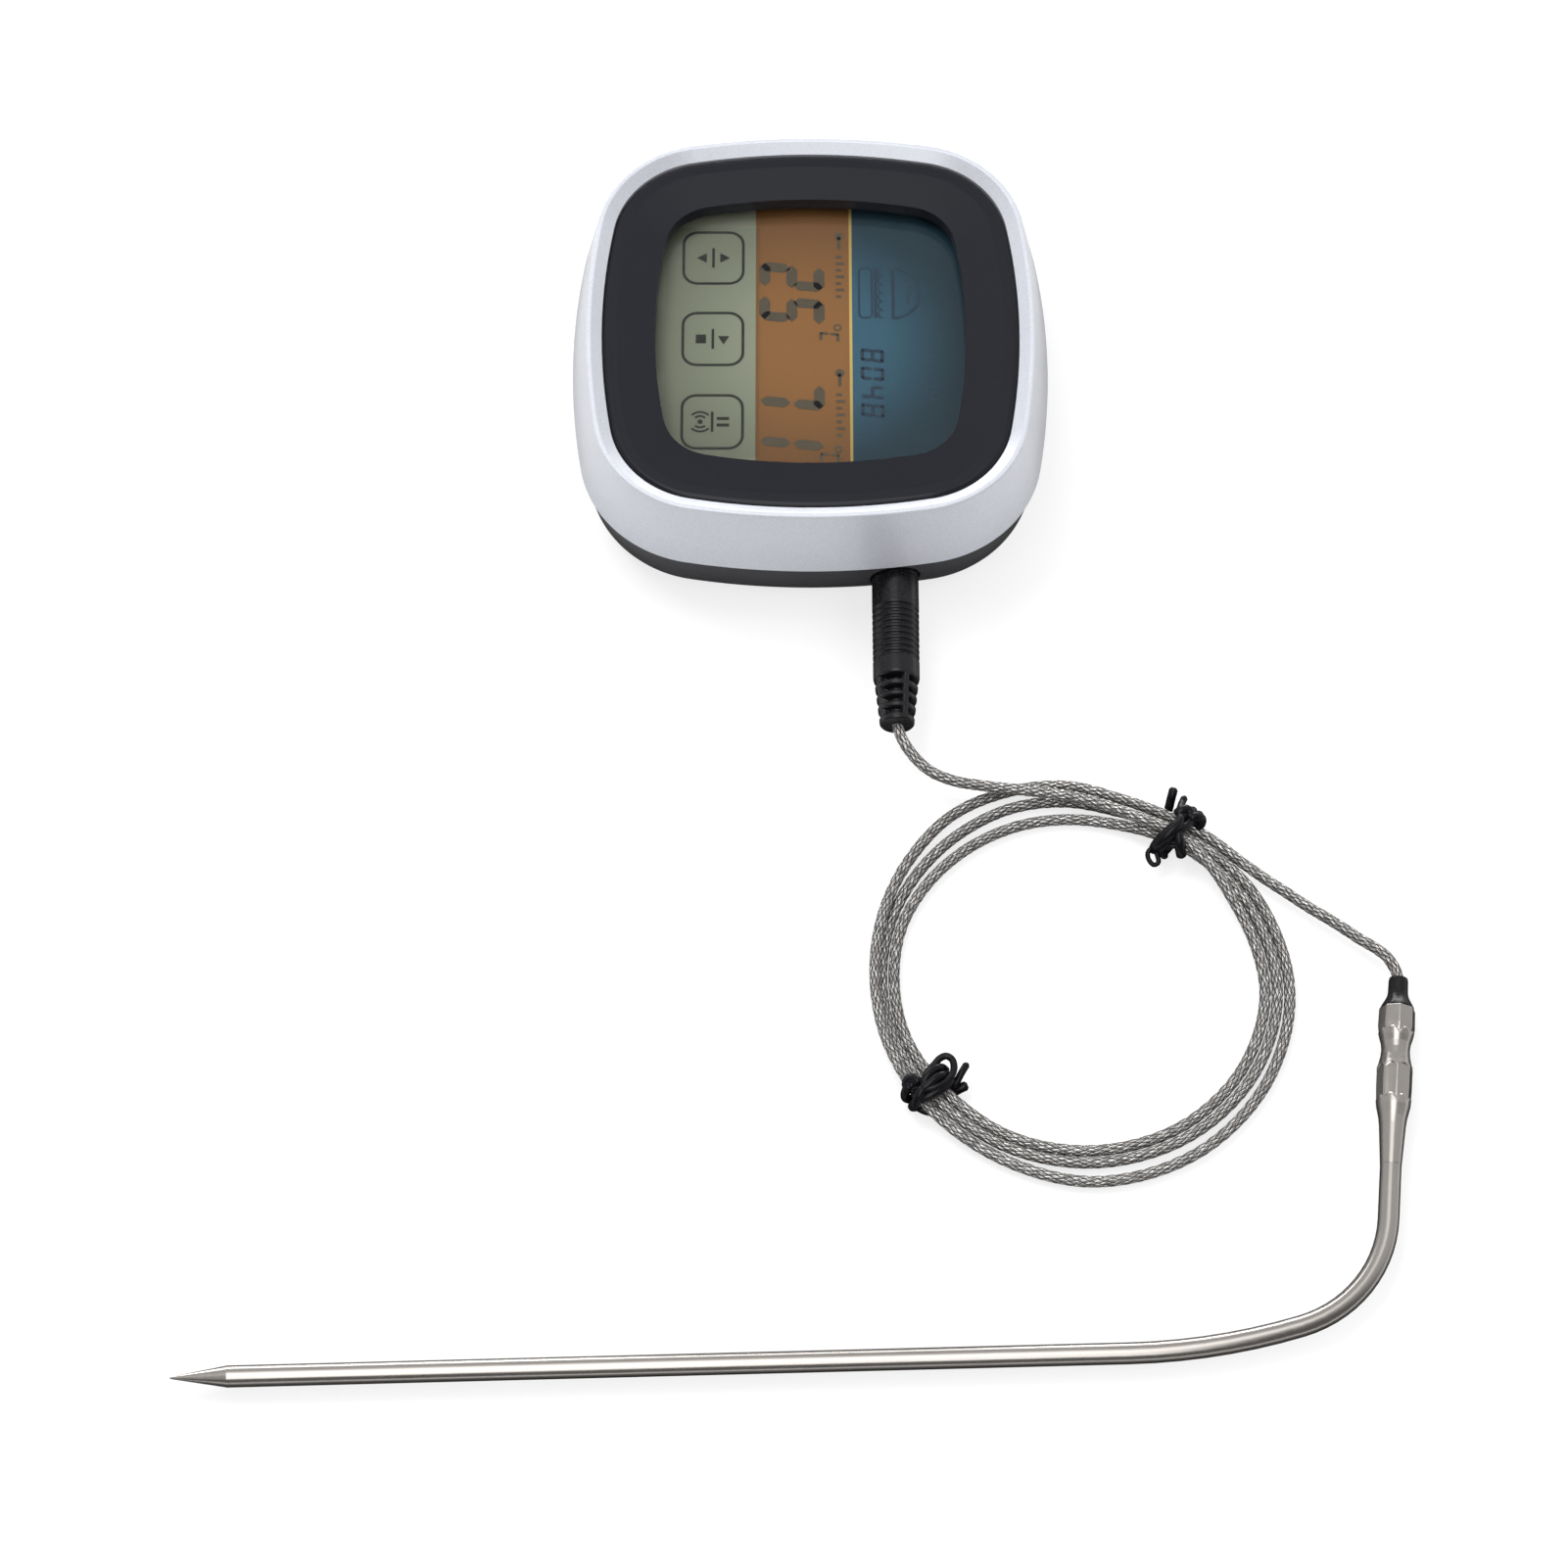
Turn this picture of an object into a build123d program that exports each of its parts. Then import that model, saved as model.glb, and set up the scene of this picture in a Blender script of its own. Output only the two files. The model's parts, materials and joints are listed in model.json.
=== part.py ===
from build123d import *
import os
from math import atan2, cos, radians, sin, sqrt

# A leave-in meat thermometer: a pocket display unit, lying on its back, and the probe lead
# that plugs into its side. Millimetres. The origin is the centre of the unit's back face.
# +X points to the top edge of the display, +Y to its left edge, +Z out of the screen.

os.makedirs("parts", exist_ok=True)

# ---- driving dimensions ----
unit_half = 38.0  # half width of the display unit at the parting line
unit_height = 24.0
parting_z = 11.6
wall = 1.8
shelf_z = 18.0  # underside of the front frame's inner shelf
bezel_z = 19.8  # top of that shelf, where the bezel sits
bezel_top_z = 22.7
pcb_z = 13.9
pcb_thickness = 1.2
lcd_half = 25.5
lens_half = 26.9
window_half = 24.6

cell_diameter = 10.5  # AAA cell
cell_length = 44.5
cell_axis_z = 7.3
bay_x_min = -23.4
bay_x_max = 26.0
bay_half_width = 11.3

boss_xy = 26.0  # case screws sit at (+-boss_xy, +-boss_xy)
pcb_screw_xy = 29.3
stand_pin_x = 24.0
stand_pin_z = 1.95
stand_leg_y = 17.5
door_pin_x = 26.6
door_half_width = 11.9

plug_x = 13.3
plug_z = 6.4
plug_face_y = -35.1
plug_diameter = 7.36
jack_diameter = 2.5
jack_length = 11.0
running_clearance = 0.03

cable_diameter = 1.8
coil_x = 40.9
coil_y = -104.0
coil_radius = 32.4  # outermost turn, where it leaves for the probe
coil_pitch = 2.0
lower_layer_z = 2.3
upper_layer_z = 4.25
flex_gap = 1.1  # from a flex point to the centre of each cable end's round cap

probe_z = 2.8
tube_diameter = 3.2
tube_bore = 2.6
tip_x = -93.1
tip_y = -167.22
tip_length = 8.3
leg_angle = 1.55
leg_length = 130.7
easy_bend_radius = 94.4
easy_bend_sweep = 15.6
tight_bend_radius = 19.6
tight_bend_sweep = 67.1
shank_length = 26.5
crimp_start = 13.7  # from the end of the bend to the crimp sleeve's lower end

flex_a = Vector(19.6, -71.0, upper_layer_z)  # where the coil swings on the plug's cable
flex_b = Vector(72.8, -89.3, lower_layer_z)  # where the probe swings on the coil's cable


def pillow_outline(half, side_radius, corner_radius):
    """Draws a rounded square with bulging sides: four side arcs and four tangent corner arcs."""
    inset = side_radius - half
    reach = side_radius - corner_radius
    corner_centre = (sqrt(2 * reach**2 - inset**2) - inset) / 2
    sweep = atan2(corner_centre, corner_centre + inset)
    tangent_x = side_radius * cos(sweep) - inset
    tangent_y = side_radius * sin(sweep)
    corner_mid = corner_centre + corner_radius * sqrt(0.5)
    for turn in (0, 90, 180, 270):
        side_start = Vector(tangent_x, -tangent_y).rotate(Axis.Z, turn)
        side_mid = Vector(half, 0).rotate(Axis.Z, turn)
        side_end = Vector(tangent_x, tangent_y).rotate(Axis.Z, turn)
        corner_half_way = Vector(corner_mid, corner_mid).rotate(Axis.Z, turn)
        corner_end = Vector(tangent_y, tangent_x).rotate(Axis.Z, turn)
        ThreePointArc(side_start, side_mid, side_end)
        ThreePointArc(side_end, corner_half_way, corner_end)


def publish(piece, label):
    """Names a finished piece and writes it to its own file."""
    piece.label = label
    export_step(piece, f"parts/{label}.step")


corner_spots = [(x, y) for x in (-boss_xy, boss_xy) for y in (-boss_xy, boss_xy)]
pcb_spots = [(-pcb_screw_xy, 0), (pcb_screw_xy, 0), (0, -pcb_screw_xy), (0, pcb_screw_xy)]

# ---- front frame: the silver shell with its inner shelf and screw bosses ----
with BuildPart() as front_frame:
    with BuildSketch(Plane.XY.offset(parting_z)):
        with BuildLine():
            pillow_outline(unit_half, 117, 20.5)
        make_face()
    with BuildSketch(Plane.XY.offset(unit_height)):
        with BuildLine():
            pillow_outline(unit_half - 2.6, 121, 18)
        make_face()
    loft(ruled=True)
    # crest: a crisp outer edge, and a lip that slopes down to the bezel
    with BuildSketch(Plane.XY.offset(bezel_top_z)):
        with BuildLine():
            pillow_outline(33.0, 108, 15.4)
        make_face()
    with BuildSketch(Plane.XY.offset(unit_height)):
        with BuildLine():
            pillow_outline(34.7, 116, 17.3)
        make_face()
    loft(ruled=True, mode=Mode.SUBTRACT)
    fillet(front_frame.edges().group_by(Axis.Z)[-1], 0.32)
    # seat for the bezel, above the shelf
    with BuildSketch(Plane.XY.offset(bezel_z)):
        with BuildLine():
            pillow_outline(33.0, 108, 15.4)
        make_face()
    extrude(amount=unit_height - bezel_z, mode=Mode.SUBTRACT)
    # opening for the lens and the display
    with BuildSketch(Plane.XY.offset(shelf_z)):
        with BuildLine():
            pillow_outline(lens_half + 0.3, 100, 10)
        make_face()
    extrude(amount=bezel_z - shelf_z, mode=Mode.SUBTRACT)
    # hollow under the shelf
    with BuildSketch(Plane.XY.offset(parting_z)):
        with BuildLine():
            pillow_outline(unit_half - 2.0, 115, 18.5)
        make_face()
    with BuildSketch(Plane.XY.offset(shelf_z)):
        with BuildLine():
            pillow_outline(unit_half - 3.4, 115, 17)
        make_face()
    loft(ruled=True, mode=Mode.SUBTRACT)
    with BuildSketch(Plane.XY.offset(shelf_z)):
        with Locations(*corner_spots):
            Circle(2.4)
    extrude(amount=-(shelf_z - parting_z))
    with BuildSketch(Plane.XY.offset(shelf_z)):
        with Locations(*pcb_spots):
            Circle(2.1)
    extrude(amount=-(shelf_z - pcb_z - pcb_thickness - 0.05))
    # the bosses' blind screw holes
    with BuildSketch(Plane.XY.offset(parting_z)):
        with Locations(*corner_spots):
            Circle(1.05)
    extrude(amount=6.0, mode=Mode.SUBTRACT)
    with BuildSketch(Plane.XY.offset(pcb_z)):
        with Locations(*pcb_spots):
            Circle(0.85)
    extrude(amount=4.2, mode=Mode.SUBTRACT)
publish(front_frame.part, "front_frame")

# ---- front bezel: the dark ring around the window, dished towards the screen ----
with BuildPart() as front_bezel:
    with BuildSketch(Plane.XY.offset(bezel_z)):
        with BuildLine():
            pillow_outline(32.85, 108, 15.3)
        make_face()
    extrude(amount=bezel_top_z - bezel_z)
    fillet(front_bezel.edges().group_by(Axis.Z)[-1], 0.9)
    with BuildSketch(Plane.XY.offset(bezel_z)):
        with BuildLine():
            pillow_outline(window_half, 92, 8.2)
        make_face()
    extrude(amount=bezel_top_z - bezel_z, mode=Mode.SUBTRACT)
    with BuildSketch(Plane.XY.offset(bezel_top_z - 0.5)):
        with BuildLine():
            pillow_outline(window_half, 92, 8.2)
        make_face()
    with BuildSketch(Plane.XY.offset(bezel_top_z)):
        with BuildLine():
            pillow_outline(30.6, 105, 13.6)
        make_face()
    loft(ruled=True, mode=Mode.SUBTRACT)
publish(front_bezel.part, "front_bezel")

# ---- lens, and the touch film with three sensing pads behind it ----
with BuildPart() as touch_lens:
    with BuildSketch(Plane.XY.offset(bezel_z - 1.05)):
        with BuildLine():
            pillow_outline(lens_half, 100, 9.8)
        make_face()
    extrude(amount=1.0)
publish(touch_lens.part, "touch_lens")

with BuildPart() as touch_film:
    with BuildSketch(Plane.XY.offset(bezel_z - 1.22)):
        with Locations((-15.6, 0)):
            Rectangle(15.0, 43.0)
        with Locations((-25.0, 0)):
            Rectangle(4.0, 12.0)
    extrude(amount=0.15)
publish(touch_film.part, "touch_film")

# ---- display: two bonded glasses, coloured film, holder and contact strips ----
with BuildPart() as lcd_front_glass:
    with BuildSketch(Plane.XY.offset(17.42)) as glass_face:
        Rectangle(2 * lcd_half, 2 * lcd_half)
        chamfer(glass_face.vertices(), 8.0)
    extrude(amount=1.1)
publish(lcd_front_glass.part, "lcd_front_glass")

with BuildPart() as lcd_rear_glass:
    with BuildSketch(Plane.XY.offset(16.3)) as rear_face:
        Rectangle(2 * lcd_half, 45.0)
        chamfer(rear_face.vertices(), 5.2)
    extrude(amount=1.1)
publish(lcd_rear_glass.part, "lcd_rear_glass")

with BuildPart() as lcd_colour_film:
    with BuildSketch(Plane.XY.offset(16.1)) as film_face:
        Rectangle(2 * lcd_half, 45.0)
        chamfer(film_face.vertices(), 5.2)
    extrude(amount=0.18)
publish(lcd_colour_film.part, "lcd_colour_film")

with BuildPart() as lcd_holder:
    with BuildSketch(Plane.XY.offset(pcb_z + pcb_thickness + 0.05)) as holder_face:
        Rectangle(54.2, 54.2)
        chamfer(holder_face.vertices(), 6.5)
    extrude(amount=2.75)
    with BuildSketch(Plane.XY.offset(16.0)) as pocket_face:
        Rectangle(2 * lcd_half + 0.3, 2 * lcd_half + 0.3)
        chamfer(pocket_face.vertices(), 7.9)
    extrude(amount=3.0, mode=Mode.SUBTRACT)
    # windows for the contact strips
    with BuildSketch(Plane.XY.offset(15.0)):
        with GridLocations(0, 48.0, 1, 2):
            Rectangle(36.2, 2.0)
    extrude(amount=2.0, mode=Mode.SUBTRACT)
publish(lcd_holder.part, "lcd_holder")

with BuildPart() as contact_strips:
    with BuildSketch(Plane.XY.offset(pcb_z + pcb_thickness + 0.02)):
        with GridLocations(0, 48.0, 1, 2):
            Rectangle(35.6, 1.6)
    extrude(amount=17.4 - pcb_z - pcb_thickness - 0.02)
publish(contact_strips.part, "contact_strips")

# ---- main board, its chip and parts, its screws, and the sounder ----
with BuildPart() as main_board:
    with BuildSketch(Plane.XY.offset(pcb_z)):
        with BuildLine():
            pillow_outline(31.8, 110, 14.5)
        make_face()
        with Locations(*corner_spots):
            Circle(3.1, mode=Mode.SUBTRACT)
        with Locations(*pcb_spots):
            Circle(0.95, mode=Mode.SUBTRACT)
    extrude(amount=pcb_thickness)
publish(main_board.part, "main_board")

with BuildPart() as controller_chip:
    with BuildSketch(Plane.XY.offset(pcb_z)):
        with Locations((-8.0, -18.0)):
            Circle(4.2)
    extrude(amount=-1.3, taper=35)
publish(controller_chip.part, "controller_chip")

with BuildPart() as board_parts:
    with BuildSketch(Plane.XY.offset(pcb_z)):
        for x, y in ((0.5, -15.6), (0.5, -18.6), (3.5, -15.6), (3.5, -18.6), (-16.5, -17.0)):
            with Locations((x, y)):
                Rectangle(1.6, 0.8)
    extrude(amount=-0.6)
publish(board_parts.part, "board_parts")

with BuildPart() as board_screws:
    with BuildSketch(Plane.XY.offset(pcb_z - 0.02)):
        with Locations(*pcb_spots):
            Circle(1.5)
    extrude(amount=-1.1)
    fillet(board_screws.edges().group_by(Axis.Z)[0], 0.35)
    with BuildSketch(Plane.XY.offset(pcb_z - 0.02)):
        with Locations(*pcb_spots):
            Circle(0.8)
    extrude(amount=4.0)
publish(board_screws.part, "board_screws")

with BuildPart() as sounder:
    with BuildSketch(Plane.XY.offset(pcb_z - 0.02)):
        with Locations((11.0, 20.5)):
            Circle(4.5)
    extrude(amount=-5.0)
    with BuildSketch(Plane.XY.offset(pcb_z - 5.02)):
        with Locations((11.0, 20.5)):
            Circle(0.9)
    extrude(amount=1.2, mode=Mode.SUBTRACT)
publish(sounder.part, "sounder")

# ---- rear cover ----
screw_seat_z = 5.0
stand_slot_depth = 2.5
stand_x_min = -29.0
leg_width = 4.0
slot_gap = 0.3
magnet_spots = [(0, -26.4), (0, 26.4)]
magnet_radius = 4.0
switch_x = -13.5
switch_y = 26.3
cover_bottom_radius = 5.6

with BuildPart() as rear_cover:
    with BuildSketch():
        with BuildLine():
            pillow_outline(36.0, 115, 18.8)
        make_face()
    with BuildSketch(Plane.XY.offset(parting_z - 0.4)):
        with BuildLine():
            pillow_outline(unit_half - 0.5, 117, 20.0)
        make_face()
    loft(ruled=True)
    fillet(rear_cover.edges().group_by(Axis.Z)[0], cover_bottom_radius)
    with BuildSketch(Plane.XY.offset(wall)):
        with BuildLine():
            pillow_outline(32.6, 113, 15.6)
        make_face()
    with BuildSketch(Plane.XY.offset(parting_z - 0.4)):
        with BuildLine():
            pillow_outline(unit_half - 3.9, 115, 17.2)
        make_face()
    loft(ruled=True, mode=Mode.SUBTRACT)
    # spigot that centres the front frame
    with BuildSketch(Plane.XY.offset(parting_z - 1.5)):
        with BuildLine():
            pillow_outline(unit_half - 2.7, 115, 18.0)
        make_face()
        with BuildLine():
            pillow_outline(unit_half - 3.9, 115, 17.2)
        make_face(mode=Mode.SUBTRACT)
    extrude(amount=3.0)
    # posts for the case screws
    with BuildSketch(Plane.XY.offset(wall - 0.4)):
        with Locations(*corner_spots):
            Circle(3.2)
    extrude(amount=parting_z - 0.2 - wall + 0.4)
    # raised floor over the stand's slot
    with BuildSketch(Plane.XY.offset(wall - 0.4)):
        with Locations((-1.5, 0)):
            Rectangle(58.0, 2 * stand_leg_y + leg_width + 3.2)
        Rectangle(80.0, 2 * stand_leg_y - leg_width - 3.2, mode=Mode.SUBTRACT)
        with Locations((-26.6, 0)):
            Rectangle(7.6, 2 * stand_leg_y + leg_width + 3.2)
    extrude(amount=stand_slot_depth)
    # battery bay: walls and roof
    with BuildSketch(Plane.XY.offset(wall - 0.4)):
        with Locations(((bay_x_min + bay_x_max) / 2, 0)):
            Rectangle(bay_x_max - bay_x_min + 2.4, 2 * bay_half_width + 2.4)
    extrude(amount=13.6 - wall + 0.4)
    with BuildSketch():
        with Locations(((bay_x_min + bay_x_max) / 2, 0)):
            Rectangle(bay_x_max - bay_x_min, 2 * bay_half_width)
    extrude(amount=12.75, mode=Mode.SUBTRACT)
    # recess that the battery door fills
    with BuildSketch():
        with Locations(((bay_x_min + door_pin_x) / 2 + 0.4, 0)):
            Rectangle(door_pin_x - bay_x_min + 1.4, 2 * door_half_width + 0.5)
    extrude(amount=wall + 0.15, mode=Mode.SUBTRACT)
    with BuildSketch(Plane.XZ):
        with Locations((door_pin_x, 0.9)):
            Circle(0.6 + running_clearance)
    extrude(amount=door_half_width + 1.3, both=True, mode=Mode.SUBTRACT)
    # thicker floor round the stand's eyes, then the slot for the folded stand
    with BuildSketch(Plane.XY.offset(wall - 0.4)):
        with GridLocations(0, 2 * stand_leg_y, 1, 2):
            with Locations((stand_pin_x, 0)):
                Rectangle(7.6, leg_width + 3.2)
    extrude(amount=4.2)
    slot_x_min = stand_x_min - slot_gap
    slot_x_max = stand_pin_x + slot_gap
    island_x_min = stand_x_min + leg_width + slot_gap
    with BuildSketch():
        with Locations(((slot_x_min + slot_x_max) / 2, 0)):
            Rectangle(slot_x_max - slot_x_min, 2 * (stand_leg_y + leg_width / 2 + slot_gap))
        with Locations(((island_x_min + slot_x_max) / 2, 0)):
            Rectangle(
                slot_x_max - island_x_min,
                2 * (stand_leg_y - leg_width / 2 - slot_gap),
                mode=Mode.SUBTRACT,
            )
    extrude(amount=stand_slot_depth - 0.1, mode=Mode.SUBTRACT)
    with BuildSketch():
        with GridLocations(0, 2 * stand_leg_y, 1, 2):
            with Locations((stand_pin_x - 0.6, 0)):
                Rectangle(5.6, leg_width + 2 * slot_gap)
    extrude(amount=4.0, mode=Mode.SUBTRACT)
    with BuildSketch(Plane.XZ):
        with Locations((stand_pin_x, stand_pin_z)):
            Circle(0.75)
    extrude(amount=stand_leg_y + leg_width / 2 + 1.5, both=True, mode=Mode.SUBTRACT)
    # finger notches for the stand and the door
    with BuildSketch():
        with Locations((stand_x_min - 0.5, 0)):
            SlotOverall(12.0, 3.0, rotation=90)
    extrude(amount=1.1, mode=Mode.SUBTRACT)
    # screw seats and shank holes
    with BuildSketch():
        with Locations(*corner_spots):
            Circle(2.15)
    extrude(amount=screw_seat_z, mode=Mode.SUBTRACT)
    with BuildSketch(Plane.XY.offset(screw_seat_z)):
        with Locations(*corner_spots):
            Circle(1.2)
    extrude(amount=parting_z, mode=Mode.SUBTRACT)
    # rings that hold the magnets
    with BuildSketch(Plane.XY.offset(wall - 0.4)):
        with Locations(*magnet_spots):
            Circle(magnet_radius + 0.9)
    extrude(amount=2.2)
    with BuildSketch(Plane.XY.offset(1.2)):
        with Locations(*magnet_spots):
            Circle(magnet_radius + 0.05)
    extrude(amount=3.0, mode=Mode.SUBTRACT)
    # slot for the power switch's knob, with a shallow dish around it
    with BuildSketch():
        with Locations((switch_x, switch_y)):
            SlotOverall(8.4, 3.8)
    extrude(amount=0.7, mode=Mode.SUBTRACT)
    with BuildSketch():
        with Locations((switch_x, switch_y)):
            Rectangle(5.2, 2.2)
    extrude(amount=wall + 0.2, mode=Mode.SUBTRACT)
    # socket hole in the side wall, and the cradle under the socket
    with BuildSketch(Plane.XY.offset(wall - 0.4)):
        with Locations((plug_x, -29.0)):
            Rectangle(8.0, 9.0)
    extrude(amount=2.0)
    with BuildSketch(Plane.XZ.offset(34.9)):
        with Locations((plug_x, plug_z)):
            Circle(plug_diameter / 2 + 0.3)
    extrude(amount=4.0, mode=Mode.SUBTRACT)
    with BuildSketch(Plane.XZ.offset(32.0)):
        with Locations((plug_x, plug_z)):
            Circle(2.0)
    extrude(amount=4.0, mode=Mode.SUBTRACT)
publish(rear_cover.part, "rear_cover")

with BuildPart() as case_screws:
    with BuildSketch(Plane.XY.offset(screw_seat_z - 0.02)):
        with Locations(*corner_spots):
            Circle(1.9)
    extrude(amount=-1.4)
    fillet(case_screws.edges().group_by(Axis.Z)[0], 0.4)
    with BuildSketch(Plane.XY.offset(screw_seat_z - 0.02)):
        with Locations(*corner_spots):
            Circle(1.0)
    extrude(amount=11.5)
    with BuildSketch(Plane.XY.offset(screw_seat_z - 1.42)):
        with Locations(*corner_spots):
            Rectangle(2.3, 0.45)
            Rectangle(0.45, 2.3)
    extrude(amount=0.8, mode=Mode.SUBTRACT)
publish(case_screws.part, "case_screws")

with BuildPart() as magnets:
    with BuildSketch(Plane.XY.offset(1.22)):
        with Locations(*magnet_spots):
            Circle(magnet_radius)
    extrude(amount=2.0)
    chamfer(magnets.edges().filter_by(GeomType.CIRCLE), 0.15)
publish(magnets.part, "magnets")

# ---- stand: a U-shaped frame with a round eye at the end of each leg ----
with BuildPart() as stand:
    with BuildSketch(Plane.XY.offset(0.1)) as stand_face:
        with Locations(((stand_x_min + stand_pin_x) / 2, 0)):
            Rectangle(stand_pin_x - stand_x_min, 2 * stand_leg_y + leg_width)
        fillet(stand_face.vertices().group_by(Axis.X)[0], 3.0)
        with Locations(((stand_x_min + stand_pin_x) / 2 + leg_width, 0)):
            Rectangle(
                stand_pin_x - stand_x_min + 0.01,
                2 * stand_leg_y - leg_width,
                mode=Mode.SUBTRACT,
            )
    extrude(amount=2.1)
    chamfer(stand.edges().group_by(Axis.Z)[0], 0.3)
    for leg_y in (-stand_leg_y, stand_leg_y):
        with BuildSketch(Plane.XZ.offset(-leg_y - leg_width / 2)):
            with Locations((stand_pin_x, stand_pin_z)):
                Circle(1.8)
        extrude(amount=leg_width)
    with BuildSketch(Plane.XZ):
        with Locations((stand_pin_x, stand_pin_z)):
            Circle(0.75 + running_clearance)
    extrude(amount=stand_leg_y + leg_width, both=True, mode=Mode.SUBTRACT)
publish(stand.part, "stand")

with BuildPart() as stand_pins:
    for leg_y in (-stand_leg_y, stand_leg_y):
        with BuildSketch(Plane.XZ.offset(-leg_y - leg_width / 2 - 1.4)):
            with Locations((stand_pin_x, stand_pin_z)):
                Circle(0.74)
        extrude(amount=leg_width + 2.8)
publish(stand_pins.part, "stand_pins")

# ---- battery door with two trunnions, a tongue and a grip pattern ----
with BuildPart() as battery_door:
    with BuildSketch():
        with Locations(((bay_x_min + door_pin_x) / 2, 0)):
            Rectangle(door_pin_x - bay_x_min, 2 * door_half_width)
    extrude(amount=wall)
    with BuildSketch(Plane.XZ):
        with Locations((door_pin_x, 0.9)):
            Circle(0.9)
    extrude(amount=door_half_width, both=True)
    with BuildSketch(Plane.XZ):
        with Locations((door_pin_x, 0.9)):
            Circle(0.6)
    extrude(amount=door_half_width + 1.0, both=True)
    with BuildSketch(Plane.XY.offset(wall)):
        with Locations((bay_x_min + 0.8, 0)):
            Rectangle(1.0, 2.2)
    extrude(amount=1.8)
    # arrow ribs near the free end, sunk in the outer face
    with BuildSketch():
        for row in range(4):
            with Locations((bay_x_min + 4.0 + 1.6 * row, 0)):
                SlotOverall(10.0 - 1.6 * row, 0.8, rotation=90)
    extrude(amount=0.4, mode=Mode.SUBTRACT)
publish(battery_door.part, "battery_door")

# ---- two AAA cells, laid head to tail, and their contacts ----
cell_y = 5.6
nub_length = 0.9
cell_clear = 0.42  # contact plate plus a touch of air
with BuildPart() as cells:
    for side in (-1, 1):
        nub_x = bay_x_max - cell_clear if side > 0 else bay_x_min + cell_clear
        nub_plane = Plane(origin=(nub_x, side * cell_y, cell_axis_z), z_dir=(-side, 0, 0))
        with BuildSketch(nub_plane):
            Circle(1.9)
        extrude(amount=nub_length + 0.5)
        with BuildSketch(nub_plane.offset(nub_length)):
            Circle(cell_diameter / 2)
        extrude(amount=cell_length - nub_length)
    rims = cells.edges().filter_by(GeomType.CIRCLE).filter_by(
        lambda edge: edge.radius > cell_diameter / 2 - 0.01
    )
    fillet(rims, 0.5)
publish(cells.part, "cells")

contact_side = 8.6
with BuildPart() as contact_plates:
    for side in (-1, 1):
        wall_x = bay_x_max if side > 0 else bay_x_min
        with BuildSketch(Plane(origin=(wall_x, side * cell_y, cell_axis_z), z_dir=(-side, 0, 0))):
            Rectangle(contact_side, contact_side)
        extrude(amount=0.4)
publish(contact_plates.part, "contact_plates")

spring_gap = bay_x_max - bay_x_min - cell_clear - cell_length
with BuildPart() as contact_springs:
    for side in (-1, 1):
        wall_x = bay_x_min if side > 0 else bay_x_max
        back = Plane(origin=(wall_x, side * cell_y, cell_axis_z), z_dir=(side, 0, 0))
        with BuildSketch(back):
            Rectangle(contact_side, contact_side)
        extrude(amount=0.4)
        turns = back.offset(0.6) * Helix(1.15, spring_gap - 0.95, 2.9, cone_angle=-12, mode=Mode.PRIVATE)
        with BuildSketch(Plane(origin=turns @ 0, z_dir=turns % 0)):
            Circle(0.28)
        sweep(path=turns, is_frenet=True)
publish(contact_springs.part, "contact_springs")

# ---- power switch: housing and knob ----
with BuildPart() as switch_housing:
    with BuildSketch(Plane.XY.offset(wall + 0.05)):
        with Locations((switch_x, switch_y)):
            Rectangle(8.6, 4.0)
    extrude(amount=3.5)
    with BuildSketch(Plane.XY.offset(wall + 0.05)):
        with Locations((switch_x, switch_y)):
            Rectangle(6.8, 2.8)
    extrude(amount=2.0, mode=Mode.SUBTRACT)
publish(switch_housing.part, "switch_housing")

knob_x = switch_x - 1.0
with BuildPart() as switch_knob:
    with BuildSketch(Plane.XY.offset(wall + 0.35)):
        with Locations((knob_x, switch_y)):
            Rectangle(4.4, 2.6)
    extrude(amount=1.4)
    with BuildSketch(Plane.XY.offset(0.15)):
        with Locations((knob_x, switch_y)):
            Rectangle(2.8, 2.0)
    extrude(amount=wall + 0.4)
    with BuildSketch(Plane.XY.offset(0.15)):
        with Locations((knob_x - 0.9, switch_y), (knob_x, switch_y), (knob_x + 0.9, switch_y)):
            Rectangle(0.35, 2.0)
    extrude(amount=0.25, mode=Mode.SUBTRACT)
publish(switch_knob.part, "switch_knob")

# ---- probe socket and the wires inside the unit ----
jack_bore = jack_diameter / 2 + running_clearance
socket_back = 23.0
socket_length = 8.2
collar_length = 3.7
with BuildPart() as probe_socket:
    with BuildSketch(Plane.XZ.offset(socket_back)):
        with Locations((plug_x, plug_z)):
            Rectangle(6.2, 5.8)
    extrude(amount=socket_length)
    with BuildSketch(Plane.XZ.offset(socket_back + socket_length)):
        with Locations((plug_x, plug_z)):
            Circle(1.95)
    extrude(amount=collar_length)
    with BuildSketch(Plane.XZ.offset(23.9)):
        with Locations((plug_x, plug_z)):
            Circle(jack_bore)
    extrude(amount=12.0, mode=Mode.SUBTRACT)
publish(probe_socket.part, "probe_socket")


wire_radius = 0.45
with BuildPart() as socket_wires:
    for dx in (-1.6, 1.6):
        wire_x = plug_x + dx
        with BuildLine() as socket_run:
            Spline((wire_x, -22.9, 6.6), (wire_x, -20.5, 8.0), (wire_x, -19.0, 13.8))
        with BuildSketch(Plane(origin=socket_run.line @ 0, z_dir=socket_run.line % 0)):
            Circle(wire_radius)
        sweep()
publish(socket_wires.part, "socket_wires")

with BuildPart() as battery_wires:
    for wire_y in (-7.0, 5.0):
        with BuildLine() as battery_run:
            Spline((27.8, wire_y, 7.2), (29.6, wire_y, 9.0), (29.2, wire_y + 1.5, 13.5))
        with BuildSketch(Plane(origin=battery_run.line @ 0, z_dir=battery_run.line % 0)):
            Circle(wire_radius)
        sweep()
publish(battery_wires.part, "battery_wires")

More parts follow.
